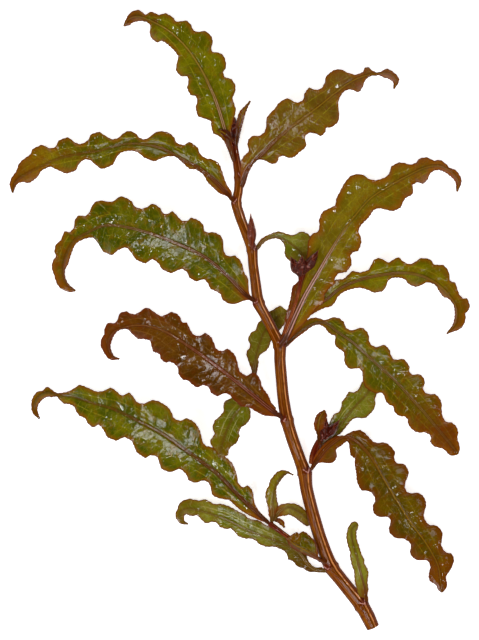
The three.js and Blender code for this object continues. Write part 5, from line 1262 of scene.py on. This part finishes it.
def leaf_material(name, look, seed):
    """Wet translucent blade: mottled, veined, browner at its rim and towards its tip."""
    shade = Shader(name, {"IOR": LEAF_IOR, "Specular IOR Level": look["gloss"]})
    run, across, edge = shade.read("run"), shade.read("across"), shade.read("edge")
    share, lateral = shade.read("share"), shade.read("lateral")
    out = shade.size(across)
    place = shade.vector(run, across, float(seed))
    broad, patch, fine, wander, crinkle = [
        shade.noise(place, *noise) for noise in LEAF_NOISES.values()]
    shift = shade.minus(patch, 0.5)

    # Mottling, and the paler band of some leaves, painted as light shining through the thin blade.
    tone = shade.blend(shade.ramp(broad, *LEAF_RAMPS["deep"]), look["light"], look["deep"])
    tone = shade.blend(shade.ramp(patch, *LEAF_RAMPS["brown"]), tone, look["brown"])
    apart = shade.size(shade.minus(share, look["glow_at"]))
    tone = shade.blend(shade.ramp(apart, *LEAF_RAMPS["glow"]), tone, look["glow"])

    # Cross veins, the net between them, and the lateral veins.
    slant = shade.minus(run, shade.times(out, FURROW_SLANT))
    slant = shade.plus(shade.times(slant, 1 / FURROW_STEP), shade.times(wander, VEIN_WANDER))
    cross = shade.ramp(shade.math("PINGPONG", slant, 0.5), *LEAF_RAMPS["cross_vein"])
    net = shade.ramp(shade.cells(place, NET_SCALE), *LEAF_RAMPS["net"])
    veins = shade.math("MAXIMUM", cross, shade.times(net, NET_SHARE))
    # Fine darker mottle of deep: painted shade in the creases between the crinkles.
    tone = shade.blend(shade.ramp(fine, *LEAF_RAMPS["fine"]), tone, look["deep"])
    tone = shade.blend(shade.times(veins, VEIN_SHARE), tone, look["vein"])
    tone = shade.blend(shade.ramp(lateral, *LEAF_RAMPS["lateral"]), tone, look["vein"])

    # Red towards the tip, brown at the rim and the foot.
    reddened = shade.plus(share, shade.times(shift, RED_SHIFT))
    reddened = shade.ramp(reddened, look["red_from"], 1.0, 0, look["red"])
    tone = shade.blend(reddened, tone, look["tip"])
    rim = shade.plus(edge, shade.times(shift, RIM_SHIFT))
    rim = shade.ramp(rim, RIM_FROM, look["rim_reach"], look["rim_share"], 0)
    tone = shade.blend(rim, tone, look["rim"])
    tone = shade.blend(shade.ramp(edge, *LEAF_RAMPS["line"]), tone, look["line"])
    foot = shade.times(shade.ramp(run, FOOT_FROM, look["foot_to"], 1, 0),
                       shade.ramp(out, *FOOT_ACROSS, look["foot_out"]))
    tone = shade.blend(foot, tone, look["foot"])

    # Midrib: dark flanks, a pale crest on its lower part that is partly a painted highlight, and a
    # thin line on the rest.
    basal = shade.ramp(share, look["rib_to"] / 2, look["rib_to"], 1, 0)
    wide = shade.ramp(share, 0, look["rib_to"], look["rib_wide"], RIB_LEAST_WIDE)
    near_rib = shade.math("DIVIDE", out, wide)
    flank = shade.times(shade.ramp(near_rib, *LEAF_RAMPS["flank"]),
                        shade.ramp(share, 0.0, look["rib_to"], *FLANK_SHARES))
    tone = shade.blend(flank, tone, look["flank"])
    crest_and_highlight = shade.times(shade.ramp(near_rib, *LEAF_RAMPS["rib_inner"]),
                       shade.ramp(near_rib, *LEAF_RAMPS["rib_outer"]))
    started = shade.ramp(share, look["rib_from"] / 2, look["rib_from"], RIB_BEFORE, 1)
    strength = shade.times(shade.times(basal, look["rib_share"]), started)
    tone = shade.blend(shade.times(crest_and_highlight, strength), tone, look["rib"])
    line = shade.minus(shade.ramp(share, *LEAF_RAMPS["crest_along"]),
                       shade.times(basal, CREST_WEAKER))
    line = shade.times(shade.ramp(out, *LEAF_RAMPS["crest_across"]), line)
    shade.set("Base Color", shade.blend(line, tone, look["crest"]))

    shade.set("Roughness", shade.math("MAXIMUM", shade.ramp(fine, *LEAF_RAMPS["roughness"]),
                                      shade.ramp(edge, *LEAF_RAMPS["rim_roughness"])))
    height = shade.plus(shade.times(fine, BUMP_FINE), shade.times(veins, BUMP_VEINS))
    shade.bump(shade.plus(height, shade.times(crinkle, BUMP_CRINKLE)), LEAF_BUMP)
    return shade.material


STEM_IOR = 1.3
STEM_LEVEL = 0.26
# How far the stem's noises are squeezed along it and around it. The breaks in its fine lines are
# taken from between two layers of noise.
STREAK_ALONG = 0.05
STREAK_AROUND = 2.6
SPOT_AROUND = 1.5
BREAK_AROUND = 0.3
BREAK_LAYER = 0.5
STEM_NOISES = {"streak": (2.6, 3.0), "spot": (0.7, 3.0), "break": (0.5, 3.0), "painted_glint": (2.2, 2.0)}
STEM_RAMPS = {
    "light": (0.4, 0.6), "core": (0.1, 0.4, 0.6, 0), "dark": (0.48, 0.7, 0, 0.6),
    "right": (-0.7, -0.2, 0.7, 0), "break": (0.36, 0.56, 0.3, 1), "edge": (0.72, 0.95, 0, 0.9),
    "node": (0.1, 0.9, 0, 0.85), "seam": (0.1, 0.3, 1, 0), "painted_glint": (0.4, 0.55),
    "roughness": (0.3, 0.7, 0.07, 0.13),
}
# The stem's darker core lies this far right of its middle, as a share of its half-width.
CORE_RIGHT = 0.3
# A fine line fades between these shares of its half-width.
LINE_FADE = (0.5, 1.3)
# The last millimetres of a stem are darkened by this share.
TIP_FROM = 3.0
TIP_SHARE = 0.8
# Share of the pale flecks, painted highlights, where a leaf's axil crosses the stem.
PAINTED_GLINT_SHARE = 0.85
STEM_BUMP_SPOTS = 0.4
STEM_BUMP = 0.00003


def stem_material(name, look, seed):
    """Wet fibrous stem: orange-brown, darker at its blunt edges and nodes, with fine streaks, and
    pale lines and flecks painted as highlights.
    """
    shade = Shader(name, {"IOR": STEM_IOR, "Specular IOR Level": STEM_LEVEL})
    run, around, upper = shade.read("run"), shade.read("around"), shade.read("upper")
    layer = float(seed)
    places = {
        "streak": shade.vector(shade.times(run, STREAK_ALONG), shade.times(around, STREAK_AROUND),
                               shade.plus(upper, layer)),
        "spot": shade.vector(run, shade.times(around, SPOT_AROUND), layer),
        "break": shade.vector(run, shade.times(around, BREAK_AROUND), layer + BREAK_LAYER),
        "painted_glint": shade.vector(run, around, layer),
    }
    streak, spots, broken, painted_glints = [
        shade.noise(place, *STEM_NOISES[key]) for key, place in places.items()]
    tone = shade.blend(shade.ramp(streak, *STEM_RAMPS["light"]), look["deep"], look["light"])
    core = shade.size(shade.plus(around, CORE_RIGHT))
    tone = shade.blend(shade.ramp(core, *STEM_RAMPS["core"]), tone, look["core"])
    tone = shade.blend(shade.ramp(spots, *STEM_RAMPS["dark"]), tone, look["dark"])
    tone = shade.blend(shade.ramp(around, *STEM_RAMPS["right"]), tone, look["right"])
    broken = shade.ramp(broken, *STEM_RAMPS["break"])
    for place, half, key, share in STEM_LINES:
        gap = shade.size(shade.minus(around, place))
        line = shade.ramp(gap, half * LINE_FADE[0], half * LINE_FADE[1], share, 0)
        tone = shade.blend(shade.times(line, broken), tone, look[key])
    side = shade.size(around)
    tone = shade.blend(shade.ramp(side, *STEM_RAMPS["edge"]), tone, look["edge"])
    tip = shade.ramp(shade.read("left"), TIP_FROM, look["tip_reach"], TIP_SHARE, 0)
    tone = shade.blend(tip, tone, look["node"])
    tone = shade.blend(shade.ramp(shade.read("node"), *STEM_RAMPS["node"]), tone, look["node"])
    # Pale flecks along the axil seams: painted highlights.
    painted_glints = shade.times(shade.ramp(shade.read("seam"), *STEM_RAMPS["seam"]),
                         shade.ramp(painted_glints, *STEM_RAMPS["painted_glint"]))
    tone = shade.blend(shade.times(painted_glints, PAINTED_GLINT_SHARE), tone, look["painted_glint"])
    shade.set("Base Color", tone)
    shade.set("Roughness", shade.ramp(streak, *STEM_RAMPS["roughness"]))
    shade.bump(shade.plus(streak, shade.times(spots, STEM_BUMP_SPOTS)), STEM_BUMP)
    return shade.material


BUD_IOR = 1.33
BUD_LEVEL = 0.34
BUD_STREAK_ACROSS = 3.0
# The flecks, painted glints, lie on the bud in metres: one every millimetre or so.
BUD_NOISES = {"streak": (2.4, 3.0), "painted_glint": (1100.0, 1.0)}
BUD_RAMPS = {
    "light": (0.35, 0.65), "edge": (0.02, 0.2, 0.75, 0), "painted_glint": (0.62, 0.7, 0, 0.5),
    "roughness": (0.3, 0.7, 0.07, 0.14),
}
BUD_BUMP = 0.00015


def bud_material(name, look, seed):
    """Wet membranous bud scales: dark maroon, streaked, with paler red margins and painted glints.
    """
    shade = Shader(name, {"IOR": BUD_IOR, "Specular IOR Level": BUD_LEVEL})
    share, across, edge = shade.read("share"), shade.read("across"), shade.read("edge")
    lines = shade.vector(share, shade.times(across, BUD_STREAK_ACROSS), float(seed))
    streak = shade.noise(lines, *BUD_NOISES["streak"])
    place = shade.add("ShaderNodeTexCoord").outputs["Object"]
    painted_glints = shade.noise(place, *BUD_NOISES["painted_glint"])
    tone = shade.blend(shade.ramp(streak, *BUD_RAMPS["light"]), look["dark"], look["light"])
    tone = shade.blend(shade.ramp(edge, *BUD_RAMPS["edge"]), tone, look["edge"])
    tone = shade.blend(shade.ramp(painted_glints, *BUD_RAMPS["painted_glint"]), tone, look["painted_glint"])
    shade.set("Base Color", tone)
    shade.set("Roughness", shade.ramp(streak, *BUD_RAMPS["roughness"]))
    shade.bump(streak, BUD_BUMP)
    return shade.material


# Colours (0 to 255) and measures of each leaf; those not given are the plain olive leaf's. Its
# blade is mottled with light, deep and brown, deep also laid finely as painted shade in the creases
# between crinkles; vein is for its veins, and line for its very margin.
# It reddens to tip by the share red, from the share red_from of its length on. Its margin browns
# to rim by rim_share, as far in as rim_reach, and its base to foot as far up as foot_to, with
# foot_out of that away from the midrib. The midrib has a pale crest, rib, partly a painted
# highlight, from rib_from to rib_to of the length, by rib_share and rib_wide across, dark flanks,
# and beyond it a thin line, crest. A band of glow, painted light shining through the thin blade,
# lies at glow_at of the length (2 is none), and gloss is the wet shine.
OLIVE = {
    "light": (122, 112, 4), "deep": (92, 86, 0), "brown": (124, 84, 4), "vein": (150, 138, 24),
    "line": (100, 34, 4), "tip": (120, 62, 4), "red": 0.75, "red_from": 0.6, "rim": (136, 78, 6),
    "rim_reach": 1.5, "rim_share": 0.75, "foot": (126, 58, 6), "foot_to": 9.0, "foot_out": 0.25,
    "rib": (132, 66, 28), "rib_from": 0.05, "rib_to": 0.5, "rib_share": 0.6, "rib_wide": 1.1,
    "flank": (74, 28, 4), "crest": (144, 108, 20), "glow": (150, 128, 14), "glow_at": 2.0,
    "gloss": 0.28,
}
PALE = {
    "light": (128, 126, 34), "deep": (98, 100, 10), "brown": (122, 98, 22), "vein": (168, 158, 84),
    "red": 0.4, "rim": (128, 84, 18), "rim_reach": 1.0, "rim_share": 0.5, "foot_to": 4.0,
    "rib": (150, 116, 66), "rib_to": 0.3, "flank": (90, 62, 14), "crest": (100, 68, 18),
}
LOOKS = {
    "left_leaf_1": {
        "light": (118, 112, 2), "deep": (86, 86, 0), "tip": (98, 44, 4), "red": 0.9,
        "red_from": 0.72, "rib": (196, 150, 108), "rib_from": 0.17, "rib_share": 0.75,
        "crest": (160, 124, 44),
    },
    "left_leaf_2": {
        "light": (108, 100, 6), "deep": (80, 76, 0), "brown": (112, 74, 2), "red": 0.8,
        "crest": (108, 70, 14), "glow_at": 0.84,
    },
    "left_leaf_3": {
        "light": (100, 96, 2), "deep": (64, 70, 0), "red": 0.95, "red_from": 0.68,
        "rib": (160, 104, 76), "rib_to": 0.85, "rib_wide": 0.95, "flank": (58, 18, 0),
        "crest": (112, 66, 14), "gloss": 0.38,
    },
    "left_leaf_4": {
        "light": (102, 62, 6), "deep": (76, 42, 0), "brown": (94, 38, 2), "vein": (136, 92, 34),
        "tip": (112, 52, 4), "red_from": 0.5, "rim": (112, 48, 6), "rim_share": 0.85,
        "rib": (156, 84, 62), "rib_to": 0.7, "rib_share": 0.7, "flank": (62, 18, 4),
        "crest": (128, 78, 32), "gloss": 0.4,
    },
    "left_leaf_5": {
        "light": (108, 104, 2), "deep": (68, 74, 0), "red_from": 0.85, "rib_to": 0.85,
        "rib_share": 0.45, "flank": (62, 22, 0), "crest": (100, 62, 12), "gloss": 0.38,
    },
    "left_leaf_6": {**PALE, "foot": (84, 44, 2), "foot_to": 24.0, "foot_out": 0.85, "gloss": 0.36},
    "right_leaf_1": {
        "light": (122, 94, 18), "deep": (98, 72, 8), "brown": (120, 68, 22), "tip": (124, 60, 30),
        "red_from": 0.45, "gloss": 0.36,
    },
    "right_leaf_2": {
        "light": (130, 108, 14), "deep": (102, 84, 4), "tip": (136, 74, 12), "rim": (140, 72, 6),
        "rim_reach": 2.3, "rib": (208, 152, 138), "rib_share": 0.95, "rib_wide": 1.5,
        "flank": (60, 16, 6),
    },
    "right_leaf_3": {
        "tip": (116, 60, 4), "red": 0.85, "red_from": 0.55, "rib": (150, 96, 58), "rib_to": 0.9,
        "rib_wide": 0.75, "flank": (68, 26, 4),
    },
    "right_leaf_4": {
        "light": (102, 94, 8), "deep": (78, 76, 0), "tip": (112, 44, 4), "red": 0.85,
        "red_from": 0.45, "rib": (166, 122, 78), "rib_to": 1.1, "rib_share": 0.5, "rib_wide": 0.65,
        "flank": (56, 26, 2),
    },
    "right_leaf_5": {
        "light": (102, 78, 0), "deep": (78, 60, 0), "brown": (106, 56, 0), "vein": (132, 106, 20),
        "red_from": 0.7, "rim": (110, 54, 4), "rim_reach": 2.8, "rim_share": 0.85, "gloss": 0.2,
    },
    "right_leaf_6": {
        **PALE, "light": (140, 136, 40), "deep": (116, 114, 14), "red": 0, "foot": (112, 62, 12),
        "foot_to": 5.0, "rib": (140, 88, 44), "rib_to": 0.7, "rib_wide": 0.5, "flank": (84, 38, 6),
        "crest": (92, 50, 12),
    },
    "small_leaf_upper_right": PALE,
    "upper_shoot_leaf": {"light": (132, 92, 22), "deep": (112, 66, 12), "rim": (112, 40, 14)},
    "rear_shoot_leaf_up": {**PALE, "light": (122, 112, 30), "deep": (100, 92, 10), "red": 0.1},
    "rear_shoot_leaf_down": {**PALE, "light": (110, 108, 8), "deep": (90, 90, 0)},
    "lower_shoot_leaf": {**PALE, "light": (124, 122, 34), "deep": (102, 102, 12), "red": 0.15},
    "left_shoot_sheath_leaf": {
        "light": (96, 86, 0), "deep": (74, 60, 0), "rim": (104, 44, 2), "rim_reach": 0.9,
        "foot_to": 4.0, "gloss": 0.2,
    },
    "left_shoot_leaf_hooked": {**PALE, "light": (132, 118, 12), "deep": (114, 98, 0)},
    "left_shoot_leaf_arched": {**PALE, "light": (148, 134, 56), "deep": (118, 98, 14)},
    "left_shoot_leaf_small": {"light": (104, 80, 26), "deep": (90, 58, 12)},
    "tip_young_leaf": {
        "light": (92, 72, 12), "deep": (74, 44, 4), "tip": (84, 30, 16), "red": 0.9,
        "foot": (76, 26, 4), "rib_share": 0,
    },
    "tip_bract": {
        "light": (84, 48, 10), "deep": (60, 22, 2), "tip": (104, 84, 22), "red": 0.8,
        "red_from": 0.4, "foot": (70, 22, 4), "rib_share": 0,
    },
    "lower_shoot_young_leaf": {
        "light": (96, 82, 16), "deep": (76, 52, 6), "rim": (104, 34, 10), "rim_reach": 1.2,
        "rib_share": 0,
    },
}
# Colours of the stems, with how far from its tip a stem darkens, and of the buds. The ridge colour
# paints highlights on the stem's blunt ribs, and the fleck colour paints highlight flecks on the
# stems and the buds.
STEM_LOOK = {
    "light": (136, 73, 0), "deep": (104, 44, 0), "dark": (88, 32, 0), "core": (104, 56, 0),
    "edge": (86, 26, 0), "right": (118, 50, 2), "node": (84, 14, 4), "ridge_highlight": (214, 138, 78),
    "painted_glint": (222, 160, 146), "tip_reach": 14.0,
}
SHOOT_LOOK = {
    **STEM_LOOK, "light": (150, 72, 24), "deep": (112, 38, 14), "dark": (92, 24, 12),
    "core": (96, 30, 14), "tip_reach": 6.0,
}
BUD_LOOK = {
    "light": (88, 24, 8), "dark": (46, 8, 2), "edge": (140, 66, 42), "painted_glint": (186, 120, 108),
}
SIDE_BUD_LOOK = {**BUD_LOOK, "light": (120, 48, 20), "dark": (74, 20, 6), "edge": (166, 96, 72)}

root = "root"
FIRST_SEED = 11
SEED_STEP = 3
BUD_SEED_STEP = 7


def keep(piece, node, material):
    """The piece stands for its CAD node and moves with the shoot."""
    piece.data.materials.append(material)
    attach(piece, root)
    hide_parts(node)


seed = FIRST_SEED
for node, leaf in LEAVES.items():
    seed += SEED_STEP
    look = painted({**OLIVE, **LOOKS.get(node, {})})
    keep(leaf_object(node, leaf, seed), node, leaf_material(node + "_look", look, seed))
for node, points in STEMS.items():
    seed += SEED_STEP
    main = node == "main_stem"
    look = painted(STEM_LOOK if main else SHOOT_LOOK)
    stem = stem_object(node + "_surface", points, STEM_NODES if main else [], seed)
    keep(stem, node, stem_material(node + "_look", look, seed))
for node, (base, tip, width) in BUDS.items():
    seed += BUD_SEED_STEP
    look = painted(SIDE_BUD_LOOK if node == "side_bud" else BUD_LOOK)
    bud = bud_object(node + "_scales", base, tip, width, seed)
    keep(bud, node, bud_material(node + "_look", look, seed))

# Table: one plain pale sheet, far larger than the view, with a faint grain.
TABLE_REACH = 2.5
TABLE_DROP = 0.0001
TABLE_ROUGHNESS = 0.85
TABLE_LEVEL = 0.1
TABLE_GLOW = 0.7
TABLE_GREYS = (0.93, 0.95)
TABLE_NOISE = (900.0, 2.0)
TABLE_RAMP = (0.3, 0.7)
corner = TABLE_REACH / MM
table = add_mesh("table", [
    (-corner, -corner, 0), (corner, -corner, 0), (corner, corner, 0), (-corner, corner, 0),
], [(0, 1, 2, 3)])
table.location.z = -TABLE_DROP
paint = Shader("table_look", {
    "Roughness": TABLE_ROUGHNESS, "Specular IOR Level": TABLE_LEVEL,
    "Emission Color": (1, 1, 1, 1), "Emission Strength": TABLE_GLOW,
})
grain = paint.noise(paint.add("ShaderNodeTexCoord").outputs["Object"], *TABLE_NOISE)
low, high = [(grey, grey, grey, 1) for grey in TABLE_GREYS]
paint.set("Base Color", paint.blend(paint.ramp(grain, *TABLE_RAMP), low, high))
table.data.materials.append(paint.material)

# Square lights that face the shoot: azimuth from +X towards +Y and elevation in degrees, distance
# and size in metres, power in watts. Five small lamps make glints, and three boxes light it all.
LIGHTS = {
    "lamp_1": (20, 48, 1.3, 0.075, 1.7),
    "lamp_2": (85, 60, 1.3, 0.075, 1.2),
    "lamp_3": (140, 50, 1.3, 0.075, 1.7),
    "lamp_4": (190, 56, 1.3, 0.075, 1.2),
    "lamp_5": (256, 46, 1.3, 0.075, 1.5),
    "key_light": (238, 66, 1.35, 0.36, 6.6),
    "sheen_light": (276, 81, 1.35, 0.26, 1.8),
    "right_light": (316, 60, 1.35, 0.3, 2.4),
}
for name, (azimuth, elevation, distance, size, power) in LIGHTS.items():
    light = bpy.data.lights.new(name, "AREA")
    light.energy = power
    light.size = size
    lamp = bpy.data.objects.new(name, light)
    a, e = math.radians(azimuth), math.radians(elevation)
    lamp.location = (
        distance * math.cos(e) * math.cos(a), distance * math.cos(e) * math.sin(a),
        distance * math.sin(e),
    )
    lamp.rotation_euler = (math.pi / 2 - e, 0, a + math.pi / 2)
    bpy.context.scene.collection.objects.link(lamp)

# World: white light that comes from low down and is nearly gone overhead.
WORLD_FADE = {"From Min": 0.1, "From Max": 0.5, "To Min": 0.5, "To Max": 0.02}
world = bpy.data.worlds.new("studio")
world.use_nodes = True
sky = world.node_tree
sky.nodes.clear()
direction = sky.nodes.new("ShaderNodeTexCoord")
split = sky.nodes.new("ShaderNodeSeparateXYZ")
fade = sky.nodes.new("ShaderNodeMapRange")
glow = sky.nodes.new("ShaderNodeBackground")
surface = sky.nodes.new("ShaderNodeOutputWorld")
sky.links.new(direction.outputs["Generated"], split.inputs[0])
sky.links.new(split.outputs["Z"], fade.inputs["Value"])
for key, value in WORLD_FADE.items():
    fade.inputs[key].default_value = value
glow.inputs["Color"].default_value = (1, 1, 1, 1)
sky.links.new(fade.outputs[0], glow.inputs["Strength"])
sky.links.new(glow.outputs[0], surface.inputs[0])
bpy.context.scene.world = world
bpy.context.scene.view_settings.view_transform = "Standard"

# The photograph was taken from straight above. At the middle height of the shoot, its 640 rows
# cover 160 mm, and its middle lies half a pixel left of the middle of the frame.
LENS = 400.0
SENSOR = 36.0
VIEW_HEIGHT = 0.16
PICTURE_ROWS = 640
MIDDLE_HEIGHT = 0.007
lens = bpy.data.cameras.new("view")
lens.lens = LENS
lens.sensor_width = SENSOR
camera = bpy.data.objects.new("view", lens)
half_pixel = VIEW_HEIGHT / PICTURE_ROWS / 2
camera.location = (-half_pixel, 0, MIDDLE_HEIGHT + VIEW_HEIGHT * LENS / SENSOR)
bpy.context.scene.collection.objects.link(camera)
bpy.context.scene.camera = camera
